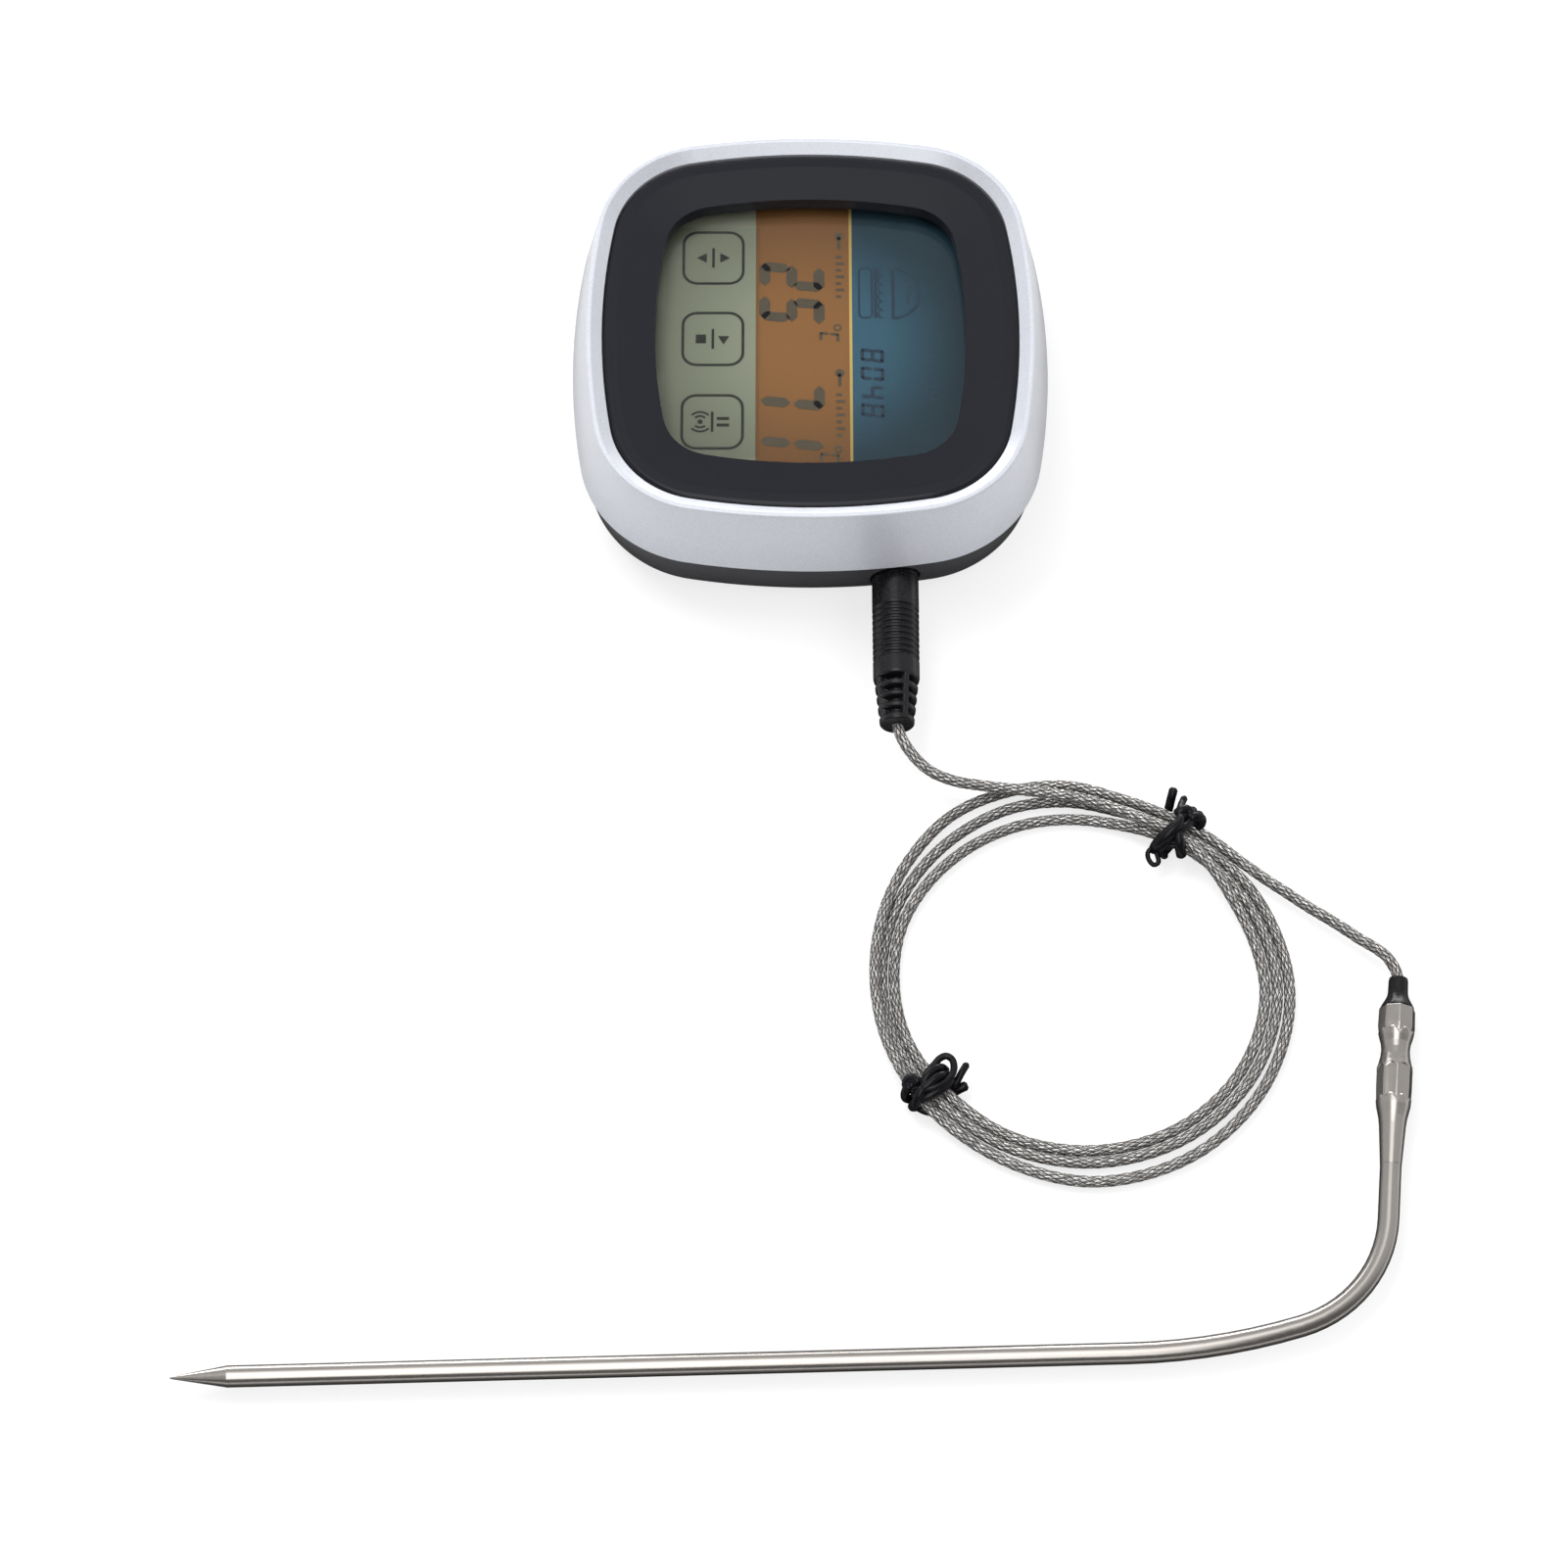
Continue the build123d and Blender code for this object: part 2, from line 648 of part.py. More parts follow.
# ---- plug: overmould, and the jack's tip, ring and sleeve ----
rib_pitch = 1.06
rib_count = 8
relief_rows = 4
relief_pitch = 1.85
web_width = 1.25
web_angle = -28


def along_plug(distance):
    """The plane square to the plug's axis, this far out from its front face."""
    return Plane(
        origin=(plug_x, plug_face_y - distance, plug_z), x_dir=(1, 0, 0), z_dir=(0, -1, 0)
    )


smooth_end = 7.1
relief_start = 19.2
plug_end = 27.4
plug_profile = Plane(
    origin=(plug_x, plug_face_y, plug_z), x_dir=(1, 0, 0), z_dir=(0, 0, 1)
)
with BuildPart() as plug_body:
    with BuildSketch(plug_profile):
        with BuildLine():
            Polyline(
                (0, 0),
                (plug_diameter / 2, 0),
                (plug_diameter / 2, -smooth_end),
                (plug_diameter / 2 - 0.05, -relief_start),
                (plug_diameter / 2 - 0.25, -relief_start - 0.9),
                (2.7, -plug_end + 0.9),
                (2.7, -plug_end),
                (0, -plug_end),
                close=True,
            )
        make_face()
    revolve(axis=Axis((plug_x, 0, plug_z), (0, 1, 0)))
    fillet(plug_body.edges().sort_by(Axis.Y)[-1], 0.4)
    # grip rings
    for ring in range(rib_count + 1):
        with BuildSketch(along_plug(smooth_end + 0.3 + rib_pitch * ring)):
            Circle(plug_diameter / 2 + 1)
            Circle(plug_diameter / 2 - 0.35, mode=Mode.SUBTRACT)
        extrude(amount=0.45, mode=Mode.SUBTRACT)
    # strain relief: rows of windows between four webs
    for row in range(relief_rows):
        with BuildSketch(along_plug(relief_start + 0.55 + relief_pitch * row)):
            Circle(plug_diameter / 2 + 1)
            Circle(1.75, mode=Mode.SUBTRACT)
            Rectangle(web_width, 9.0, rotation=web_angle, mode=Mode.SUBTRACT)
            Rectangle(9.0, web_width, rotation=web_angle, mode=Mode.SUBTRACT)
        extrude(amount=1.05, mode=Mode.SUBTRACT)
    # bores for the jack's root and for the cable
    with BuildSketch(along_plug(0)):
        Circle(jack_diameter / 2 + 0.01)
    extrude(amount=8.0, mode=Mode.SUBTRACT)
    with BuildSketch(along_plug(8.0)):
        Circle(cable_diameter / 2 + running_clearance)
    extrude(amount=plug_end, mode=Mode.SUBTRACT)
publish(plug_body.part, "plug_body")

ring_start = -7.6
with BuildPart() as plug_sleeve:
    with BuildSketch(along_plug(ring_start)):
        Circle(jack_diameter / 2)
        Circle(0.9, mode=Mode.SUBTRACT)
    extrude(amount=7.5 - ring_start)
publish(plug_sleeve.part, "plug_sleeve")

with BuildPart() as plug_insulator:
    with BuildSketch(along_plug(ring_start - 0.8)):
        Circle(jack_diameter / 2)
    extrude(amount=0.8)
    with BuildSketch(along_plug(ring_start)):
        Circle(0.89)
    extrude(amount=7.5 - ring_start)
    with BuildSketch(along_plug(ring_start - 0.8)):
        Circle(0.5)
    extrude(amount=20.0, mode=Mode.SUBTRACT)
publish(plug_insulator.part, "plug_insulator")

with BuildPart() as plug_tip:
    with BuildSketch(plug_profile):
        with BuildLine():
            Polyline(
                (0, -7.4),
                (0.49, -7.4),
                (0.49, 8.42),
                (jack_diameter / 2, 8.42),
                (jack_diameter / 2, 9.1),
                (0.85, 9.5),
                (jack_diameter / 2, 10.0),
                (0.45, jack_length),
                (0, jack_length),
                close=True,
            )
        make_face()
    revolve(axis=Axis((plug_x, 0, plug_z), (0, 1, 0)))
publish(plug_tip.part, "plug_tip")

# ---- cable in three lengths, with round caps at the two flex points ----
cable_radius = cable_diameter / 2


def cable_length(name, route, capped_ends):
    """Sweeps the cable along a route and rounds the ends that meet a flex point."""
    with BuildPart() as cable:
        with BuildSketch(Plane(origin=route @ 0, z_dir=route % 0)):
            Circle(cable_radius)
        sweep(path=route)
        with Locations(*[route @ end for end in capped_ends]):
            Sphere(cable_radius)
    publish(cable.part, name)


def past(point, direction, distance):
    """The point this far along a direction."""
    return point + direction.normalized() * distance


heading_a = Vector(0.93, -0.37, 0)
heading_b = Vector(0.79, -0.61, 0)
tail_start = Vector(plug_x, plug_face_y - 8.1, plug_z)
tail_exit = Vector(plug_x, plug_face_y - plug_end - 0.4, plug_z)
tail_end = past(flex_a, heading_a, -flex_gap)
with BuildLine() as plug_tail:
    Line(tail_start, tail_exit)
    Spline(
        tail_exit,
        tail_end,
        tangents=(Vector(0, -1, 0), heading_a),
        tangent_scalars=(0.8, 1.4),
    )
cable_length("cable_plug_tail", plug_tail.wire(), [1])


def half_turn(radius, centre_y, start_angle, level, sweep_angle=-180):
    """A flat clockwise arc of the coil."""
    return CenterArc((coil_x, centre_y, level), radius, start_angle, sweep_angle)


step_radius = coil_pitch / 2
middle_radius = coil_radius - coil_pitch
inner_radius = middle_radius - coil_pitch
coil_top = Vector(coil_x, coil_y + middle_radius, upper_layer_z)
last_arc_angle = 58
drop = [
    Vector(
        coil_x + inner_radius * sin(radians(15 * i)),
        coil_y + inner_radius * cos(radians(15 * i)),
        lower_layer_z
        + (upper_layer_z - lower_layer_z) * (1 + cos(radians(15 * i))) / 2,
    )
    for i in range(13)
]
with BuildLine() as coil:
    Spline(
        past(flex_a, heading_a, flex_gap), coil_top, tangents=(heading_a, Vector(1, 0, 0))
    )
    half_turn(middle_radius, coil_y, 90, upper_layer_z)
    half_turn(middle_radius - step_radius, coil_y - step_radius, -90, upper_layer_z)
    Spline(*drop, tangents=(Vector(1, 0, 0), Vector(-1, 0, 0)))
    half_turn(inner_radius + step_radius, coil_y + step_radius, -90, lower_layer_z)
    half_turn(middle_radius, coil_y, 90, lower_layer_z)
    half_turn(middle_radius + step_radius, coil_y + step_radius, -90, lower_layer_z)
    coil_exit = half_turn(coil_radius, coil_y, 90, lower_layer_z, last_arc_angle - 90)
    Spline(
        coil_exit @ 1,
        past(flex_b, heading_b, -flex_gap),
        tangents=(coil_exit % 1, heading_b),
    )
cable_length("cable_coil", coil.wire(), [0, 1])

# ---- probe: its centre line lies flat, from the tip through one bend to the crimp ----
leg_direction = Vector(cos(radians(leg_angle)), sin(radians(leg_angle)), 0)
tip_point = Vector(tip_x, tip_y, probe_z)
tube_start = past(tip_point, leg_direction, tip_length)
with BuildPart() as probe_tube:
    with BuildLine():
        leg_line = Line(tube_start, past(tube_start, leg_direction, leg_length))
        easy_bend = JernArc(leg_line @ 1, leg_line % 1, easy_bend_radius, easy_bend_sweep)
        tight_bend = JernArc(easy_bend @ 1, easy_bend % 1, tight_bend_radius, tight_bend_sweep)
        shank_direction = tight_bend % 1
        shank_line = Line(tight_bend @ 1, past(tight_bend @ 1, shank_direction, shank_length))
    with BuildSketch(Plane(origin=tube_start, z_dir=leg_direction)):
        Circle(tube_diameter / 2)
        Circle(tube_bore / 2, mode=Mode.SUBTRACT)
    sweep()
publish(probe_tube.part, "probe_tube")
crimp_base = past(tight_bend @ 1, shank_direction, crimp_start)

across_tip = Plane(origin=tube_start, z_dir=-leg_direction)
with BuildPart() as probe_tip:
    with BuildSketch(across_tip):
        Circle(tube_diameter / 2)
    with BuildSketch(across_tip.offset(tip_length)):
        Circle(0.15)
    loft()
    with BuildSketch(across_tip.offset(-2.5)):
        Circle(tube_bore / 2 - 0.01)
    extrude(amount=2.5)
publish(probe_tip.part, "probe_tip")

bead_plane = Plane(origin=past(tube_start, leg_direction, 2.7), z_dir=leg_direction)
with BuildPart() as thermistor:
    with BuildSketch(bead_plane):
        Circle(0.9)
    extrude(amount=2.4)
    fillet(thermistor.edges(), 0.6)
publish(thermistor.part, "thermistor")

lead_start = past(tube_start, leg_direction, 5.12)
with BuildPart() as thermistor_leads:
    with BuildLine():
        Line(lead_start, leg_line @ 1)
        add([easy_bend, tight_bend, shank_line])
    with BuildSketch(Plane(origin=lead_start, x_dir=(0, 0, 1), z_dir=leg_direction)):
        with Locations((-0.5, 0), (0.5, 0)):
            Circle(0.3)
    sweep()
publish(thermistor_leads.part, "thermistor_leads")


def along_crimp(distance):
    """The plane square to the crimp sleeve, this far up from its lower end."""
    return Plane(origin=past(crimp_base, shank_direction, distance), z_dir=shank_direction)


crimp_length = 20.0
crimp_side = Plane(
    origin=crimp_base, x_dir=shank_direction.cross(Vector(0, 0, 1)), z_dir=(0, 0, 1)
)
crimp_axis = Axis(crimp_base, shank_direction)
with BuildPart() as crimp_sleeve:
    with BuildSketch(crimp_side):
        with BuildLine():
            Polyline((0, 0), (1.75, 0), (2.05, 2.2))
            Spline(
                (2.05, 2.2), (2.8, 6.6), (2.8, 9.8), (2.45, 13.2), (2.75, 16.6), (2.8, crimp_length)
            )
            Polyline((2.8, crimp_length), (0, crimp_length), (0, 0))
        make_face()
    revolve(axis=crimp_axis)
    with BuildSketch(along_crimp(0)):
        Circle(tube_diameter / 2 + 0.01)
    extrude(amount=12.9, mode=Mode.SUBTRACT)
    with BuildSketch(along_crimp(12.9)):
        Circle(1.5)
    extrude(amount=crimp_length, mode=Mode.SUBTRACT)
publish(crimp_sleeve.part, "crimp_sleeve")

with BuildPart() as heat_shrink:
    with BuildSketch(crimp_side):
        with BuildLine():
            Polyline(
                (cable_radius + 0.02, crimp_length - 5.0),
                (1.48, crimp_length - 5.0),
                (1.48, crimp_length + 0.02),
                (2.3, crimp_length + 0.02),
                (1.65, crimp_length + 1.6),
                (1.6, crimp_length + 4.9),
                (cable_radius + 0.02, crimp_length + 5.1),
                close=True,
            )
        make_face()
    revolve(axis=crimp_axis)
publish(heat_shrink.part, "heat_shrink")

probe_tail_end = past(crimp_base, shank_direction, 14.0)
probe_tail_exit = past(crimp_base, shank_direction, crimp_length + 5.6)
with BuildLine() as probe_tail:
    Spline(
        past(flex_b, heading_b, flex_gap),
        probe_tail_exit,
        tangents=(heading_b, -shank_direction),
    )
    Line(probe_tail_exit, probe_tail_end)
cable_length("cable_probe_tail", probe_tail.wire(), [0])


# ---- twist ties: a band round the bundle, and the twisted ends standing off it ----
def twist_tie(name, angle):
    """A soft wire band round the coil's bundle at this angle about the coil's centre."""
    outward = Vector(cos(radians(angle)), sin(radians(angle)), 0)
    along = Vector(-outward.Y, outward.X, 0)
    bundle_radius = coil_radius - coil_pitch
    middle_z = (lower_layer_z + upper_layer_z) / 2
    centre = Vector(coil_x, coil_y, middle_z) + outward * bundle_radius
    band_plane = Plane(origin=centre, x_dir=outward, z_dir=along)
    with BuildPart() as tie:
        with BuildSketch(band_plane):
            RectangleRounded(2 * 4.7, 2 * 3.25, 2.9)
            RectangleRounded(2 * 3.6, 2 * 2.12, 1.7, mode=Mode.SUBTRACT)
        extrude(amount=1.3, both=True)
        for lean in (-0.5, 0.5):
            foot = centre + outward * 2.5 + Vector(0, 0, 3.0)
            rise = (outward * 0.5 + along * lean + Vector(0, 0, 0.45)).normalized()
            with BuildSketch(Plane(origin=foot, z_dir=rise)):
                Circle(0.75)
            extrude(amount=6.5)
    publish(tie.part, name)


twist_tie("twist_tie_upper", 60)
twist_tie("twist_tie_lower", 218)
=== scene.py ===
import json
from math import acos, cos, hypot, pi, radians, sin

import bpy
import numpy as np
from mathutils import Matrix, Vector


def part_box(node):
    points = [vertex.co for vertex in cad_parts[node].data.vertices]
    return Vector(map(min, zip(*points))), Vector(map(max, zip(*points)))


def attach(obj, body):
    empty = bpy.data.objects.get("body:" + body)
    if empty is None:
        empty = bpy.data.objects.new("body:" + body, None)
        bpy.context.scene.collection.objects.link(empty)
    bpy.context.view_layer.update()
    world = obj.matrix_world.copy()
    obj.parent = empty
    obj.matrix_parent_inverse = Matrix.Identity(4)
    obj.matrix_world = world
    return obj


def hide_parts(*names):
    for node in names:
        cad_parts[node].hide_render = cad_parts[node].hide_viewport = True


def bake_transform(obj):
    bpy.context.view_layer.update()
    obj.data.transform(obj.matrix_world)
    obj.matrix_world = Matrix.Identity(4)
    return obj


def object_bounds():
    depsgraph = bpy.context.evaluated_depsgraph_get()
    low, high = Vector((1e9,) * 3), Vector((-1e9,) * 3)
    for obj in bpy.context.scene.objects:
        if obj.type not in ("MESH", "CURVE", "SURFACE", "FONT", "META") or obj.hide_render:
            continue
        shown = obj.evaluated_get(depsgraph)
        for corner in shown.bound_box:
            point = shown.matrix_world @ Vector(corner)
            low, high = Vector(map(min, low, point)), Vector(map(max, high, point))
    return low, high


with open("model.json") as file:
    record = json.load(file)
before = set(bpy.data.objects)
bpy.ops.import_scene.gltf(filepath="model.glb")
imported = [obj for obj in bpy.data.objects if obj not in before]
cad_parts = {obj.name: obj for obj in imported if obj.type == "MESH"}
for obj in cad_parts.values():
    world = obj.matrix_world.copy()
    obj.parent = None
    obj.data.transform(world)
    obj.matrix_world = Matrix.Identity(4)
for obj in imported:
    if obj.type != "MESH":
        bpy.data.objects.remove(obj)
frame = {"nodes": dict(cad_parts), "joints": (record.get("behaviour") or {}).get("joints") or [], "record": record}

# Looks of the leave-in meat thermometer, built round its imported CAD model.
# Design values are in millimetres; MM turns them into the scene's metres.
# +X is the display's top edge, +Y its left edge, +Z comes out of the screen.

MM = 0.001
cad_low, cad_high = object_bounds()
joints = {joint["name"]: joint for joint in frame["joints"]}
finishes = {}


def low(node):
    """Lowest corner of a CAD node, in millimetres."""
    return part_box(node)[0] / MM


def high(node):
    """Highest corner of a CAD node, in millimetres."""
    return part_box(node)[1] / MM


def middle(node):
    """Centre of a CAD node's box, in millimetres."""
    return (low(node) + high(node)) / 2


def pivot(joint):
    """A hinge's place, in millimetres."""
    return Vector(joints[joint]["pos_m"]) / MM


# ---- node graphs ----
def node(tree, kind, inputs=None, **settings):
    """Adds a shader node; inputs are values, or sockets to link from."""
    made = tree.nodes.new(kind)
    for key, value in settings.items():
        setattr(made, key, value)
    for key, value in (inputs or {}).items():
        if isinstance(value, bpy.types.NodeSocket):
            tree.links.new(value, made.inputs[key])
        else:
            made.inputs[key].default_value = value
    return made


def calc(tree, operation, first, second=0.0, third=0.0):
    """One arithmetic step on sockets or numbers."""
    made = node(tree, "ShaderNodeMath", {0: first, 1: second, 2: third}, operation=operation)
    return made.outputs[0]


def ramp(tree, factor, start, end, low_value, high_value):
    """Maps a factor between start and end smoothly onto low_value to high_value."""
    inputs = {"Value": factor, 1: start, 2: end, 3: low_value, 4: high_value}
    made = node(tree, "ShaderNodeMapRange", inputs, interpolation_type="SMOOTHSTEP")
    return made.outputs[0]


def blend_colour(tree, factor, first, second):
    """Mixes two colours, given as sockets or as three numbers."""
    made = node(tree, "ShaderNodeMix", {0: factor}, data_type="RGBA")
    for socket, value in ((6, first), (7, second)):
        if isinstance(value, bpy.types.NodeSocket):
            tree.links.new(value, made.inputs[socket])
        else:
            made.inputs[socket].default_value = (*value, 1)
    return made.outputs[2]


def shade(colour, factor):
    """A colour made darker or brighter by a factor."""
    return tuple(min(1.0, channel * factor) for channel in colour)


def new_finish(slot_name):
    """An empty material for a slot: its tree, its main shader and the position in millimetres."""
    material = bpy.data.materials.new(slot_name)
    material.use_nodes = True
    tree = material.node_tree
    shader = tree.nodes["Principled BSDF"]
    place = tree.nodes.new("ShaderNodeTexCoord")
    scaled = node(
        tree, "ShaderNodeVectorMath", {0: place.outputs["Object"], "Scale": 1 / MM}, operation="SCALE"
    )
    finishes[slot_name] = material
    return tree, shader, scaled.outputs[0]


def noise(tree, place, size, detail=3.0, stretch=(1, 1, 1)):
    """Soft noise with features of this size in millimetres, drawn out along the stretched axes."""
    scale = tuple(1 / (size * factor) for factor in stretch)
    spread = node(tree, "ShaderNodeVectorMath", {0: place, 1: scale}, operation="MULTIPLY")
    inputs = {"Vector": spread.outputs[0], "Scale": 1.0, "Detail": detail}
    return node(tree, "ShaderNodeTexNoise", inputs).outputs["Fac"]


def relief(tree, shader, height, depth):
    """Turns a height factor into bump this many millimetres deep."""
    bump = node(tree, "ShaderNodeBump", {"Height": height, "Distance": depth * MM})
    tree.links.new(bump.outputs[0], shader.inputs["Normal"])


def uneven(tree, shader, factor, roughness, spread):
    """Lets the roughness vary with a factor, by a spread centred on its mean."""
    gloss = calc(tree, "MULTIPLY_ADD", factor, spread, roughness - spread / 2)
    tree.links.new(gloss, shader.inputs["Roughness"])


def moulded(slot_name, colour, roughness, grain=0.3, depth=0.01, coat=0.0, sheen=0.5, vary=0.12):
    """Moulded or painted plastic: mottled colour, uneven gloss and a fine mould texture."""
    tree, shader, place = new_finish(slot_name)
    cloud = noise(tree, place, 9.0, 4.0)
    fine = noise(tree, place, grain, 2.0)
    colours = blend_colour(tree, cloud, shade(colour, 1 - vary), shade(colour, 1 + vary))
    tree.links.new(colours, shader.inputs["Base Color"])
    uneven(tree, shader, fine, roughness, 0.12)
    shader.inputs["Specular IOR Level"].default_value = sheen
    shader.inputs["Coat Weight"].default_value = coat
    shader.inputs["Coat Roughness"].default_value = 0.12
    relief(tree, shader, fine, depth)


def drawn_metal(slot_name, colour, roughness, size=0.12, stretch=(30, 1, 1), depth=0.003, vary=0.1):
    """Metal with fine marks drawn out along one axis and faint staining."""
    tree, shader, place = new_finish(slot_name)
    marks = noise(tree, place, size, 3.0, stretch)
    stain = noise(tree, place, 7.0, 3.0)
    worn = calc(tree, "MULTIPLY_ADD", marks, 0.5, calc(tree, "MULTIPLY", stain, 0.5))
    colours = blend_colour(tree, worn, shade(colour, 1 - vary), shade(colour, 1 + vary))
    tree.links.new(colours, shader.inputs["Base Color"])
    shader.inputs["Metallic"].default_value = 1.0
    uneven(tree, shader, marks, roughness, 0.16)
    relief(tree, shader, marks, depth)


dark_flake = (0.48, 0.496, 0.54)
bright_flake = (0.61, 0.628, 0.68)
flakes_per_mm = 7.0


def silver_paint():
    """Metallic silver paint: tiny bright and dark flakes under a thin clear coat."""
    tree, shader, place = new_finish("silver_paint")
    inputs = {"Vector": place, "Scale": flakes_per_mm}
    flakes = node(tree, "ShaderNodeTexVoronoi", inputs).outputs["Color"]
    spark = node(tree, "ShaderNodeSeparateColor", {0: flakes}).outputs[0]
    cloud = noise(tree, place, 14.0, 3.0)
    mottle = calc(tree, "MULTIPLY_ADD", spark, 0.6, calc(tree, "MULTIPLY", cloud, 0.4))
    colours = blend_colour(tree, mottle, dark_flake, bright_flake)
    tree.links.new(colours, shader.inputs["Base Color"])
    shader.inputs["Metallic"].default_value = 0.3
    tree.links.new(calc(tree, "MULTIPLY_ADD", spark, 0.1, 0.3), shader.inputs["Roughness"])
    shader.inputs["Coat Weight"].default_value = 0.6
    shader.inputs["Coat Roughness"].default_value = 0.18
    relief(tree, shader, spark, 0.002)


def clear_sheet(slot_name, tint, gloss):
    """A thin clear sheet: see-through, with a reflection that grows at a glance and faint wipe marks."""
    tree, shader, place = new_finish(slot_name)
    tree.nodes.remove(shader)
    wipe = noise(tree, place, 1.2, 4.0, (1, 9, 1))
    edge = node(tree, "ShaderNodeFresnel", {"IOR": 1.46}).outputs[0]
    rough = calc(tree, "MULTIPLY_ADD", wipe, 0.05, 0.02)
    through = node(tree, "ShaderNodeBsdfTransparent", {"Color": (*tint, 1)})
    mirror = node(tree, "ShaderNodeBsdfGlossy", {"Roughness": rough})
    share = calc(tree, "MULTIPLY", edge, gloss)
    mixed = node(tree, "ShaderNodeMixShader", {0: share, 1: through.outputs[0], 2: mirror.outputs[0]})
    tree.links.new(mixed.outputs[0], tree.nodes["Material Output"].inputs["Surface"])


# zones of the display, from its lower edge to its upper edge, and their colours
zone_edges = (-8.7, 6.2, 6.65)
key_zone = (0.30, 0.305, 0.225)
reading_zone = (0.215, 0.092, 0.025)
divider_line = (0.50, 0.34, 0.10)
food_zone = (0.024, 0.078, 0.118)


def display_glass():
    """The display's coloured zones with a painted glow, brighter towards the middle and darker towards the edges,
    and the cell's fine mottling.
    """
    tree, shader, place = new_finish("lcd_glass")
    along, across, _ = node(tree, "ShaderNodeSeparateXYZ", {0: place}).outputs
    colours = key_zone
    for edge, zone in zip(zone_edges, (reading_zone, divider_line, food_zone)):
        above = calc(tree, "GREATER_THAN", along, edge)
        colours = blend_colour(tree, above, colours, zone)
    square = calc(tree, "ADD", calc(tree, "POWER", along, 2), calc(tree, "POWER", across, 2))
    radius = calc(tree, "SQRT", square)
    # painted glow: the zone colours are brightened towards the middle and darkened towards the edges, warm in the
    # lower zones and cold in the upper one
    painted_warm_glow = ramp(tree, radius, 4, 30, 1.12, 0.58)
    painted_cold_glow = ramp(tree, radius, 8, 25, 1.2, 0.34)
    painted_glow = calc(tree, "MULTIPLY_ADD", calc(tree, "SUBTRACT", painted_cold_glow, painted_warm_glow), above, painted_warm_glow)
    cloud = calc(tree, "MULTIPLY_ADD", noise(tree, place, 0.4, 2.0), 0.04, 0.98)
    lit = calc(tree, "MULTIPLY", painted_glow, cloud)
    painted_glow_colour = node(tree, "ShaderNodeCombineColor", {0: lit, 1: lit, 2: lit}).outputs[0]
    mixed = node(tree, "ShaderNodeMix", {0: 1.0}, data_type="RGBA", blend_type="MULTIPLY")
    tree.links.new(colours, mixed.inputs[6])
    tree.links.new(painted_glow_colour, mixed.inputs[7])
    tree.links.new(mixed.outputs[2], shader.inputs["Base Color"])
    shader.inputs["Roughness"].default_value = 0.45
    shader.inputs["Specular IOR Level"].default_value = 0.25


# the weave: strands each way, length of one strand's turn, and what is drawn on each strand
braid_carriers = 8
braid_pitch = 16.8
wires_per_strand = 2
# the wire's own colour, a painted glint colour for bright highlight streaks, and painted shade for the crevices
# between strands
dull_wire = (0.34, 0.325, 0.31)
painted_glint_wire = (1.0, 0.985, 0.96)
painted_crevice_shade = (0.018, 0.015, 0.014)


def steel_braid():
    """Woven stainless wire: two sets of flat strands, with painted shade where they dip under each other and
    between their wires, and painted highlight streaks along them.
    """
    tree, shader, _ = new_finish("steel_braid")
    run = node(tree, "ShaderNodeUVMap", uv_map="run").outputs[0]
    parts = node(tree, "ShaderNodeSeparateXYZ", {0: run})
    around = calc(tree, "MULTIPLY", parts.outputs[0], braid_carriers)
    along = calc(tree, "MULTIPLY", parts.outputs[1], braid_carriers)
    left, right = calc(tree, "SUBTRACT", around, along), calc(tree, "ADD", around, along)
    count = calc(tree, "ADD", calc(tree, "FLOOR", left), calc(tree, "FLOOR", right))
    over = calc(tree, "FLOORED_MODULO", count, 2.0)
    across_left, across_right = calc(tree, "FRACT", left), calc(tree, "FRACT", right)
    swing = calc(tree, "SUBTRACT", across_right, across_left)
    across = calc(tree, "MULTIPLY_ADD", swing, over, across_left)
    lengthwise = calc(tree, "SUBTRACT", across_right, calc(tree, "MULTIPLY", swing, over))
    edge = calc(tree, "ABSOLUTE", calc(tree, "MULTIPLY_ADD", across, 2.0, -1.0))
    dip = calc(tree, "ABSOLUTE", calc(tree, "MULTIPLY_ADD", lengthwise, 2.0, -1.0))
    # painted shade in the crevices: strand edges, dips under the crossing strands, and lines between the wires
    gap = calc(tree, "MAXIMUM", ramp(tree, edge, 0.4, 0.8, 0, 1), ramp(tree, dip, 0.7, 1.0, 0, 0.9))
    wires = calc(tree, "SINE", calc(tree, "MULTIPLY", across, wires_per_strand * 2 * pi))
    gap = calc(tree, "MAXIMUM", gap, ramp(tree, wires, -1.0, -0.4, 0.85, 0))
    # painted highlights: bright streaks drawn along the strands stand in for glints
    painted_glints = ramp(tree, noise(tree, run, 1.0, 2.0, (0.035, 0.09, 1)), 0.40, 0.62, 0, 1)
    grey = blend_colour(tree, painted_glints, dull_wire, painted_glint_wire)
    # the crevices are painted dark as painted shade, and are also rougher and less metallic
    tree.links.new(blend_colour(tree, gap, grey, painted_crevice_shade), shader.inputs["Base Color"])
    tree.links.new(calc(tree, "MULTIPLY_ADD", gap, -0.5, 0.7), shader.inputs["Metallic"])
    tree.links.new(calc(tree, "MULTIPLY_ADD", gap, 0.4, 0.18), shader.inputs["Roughness"])
    relief(tree, shader, wires, 0.02)


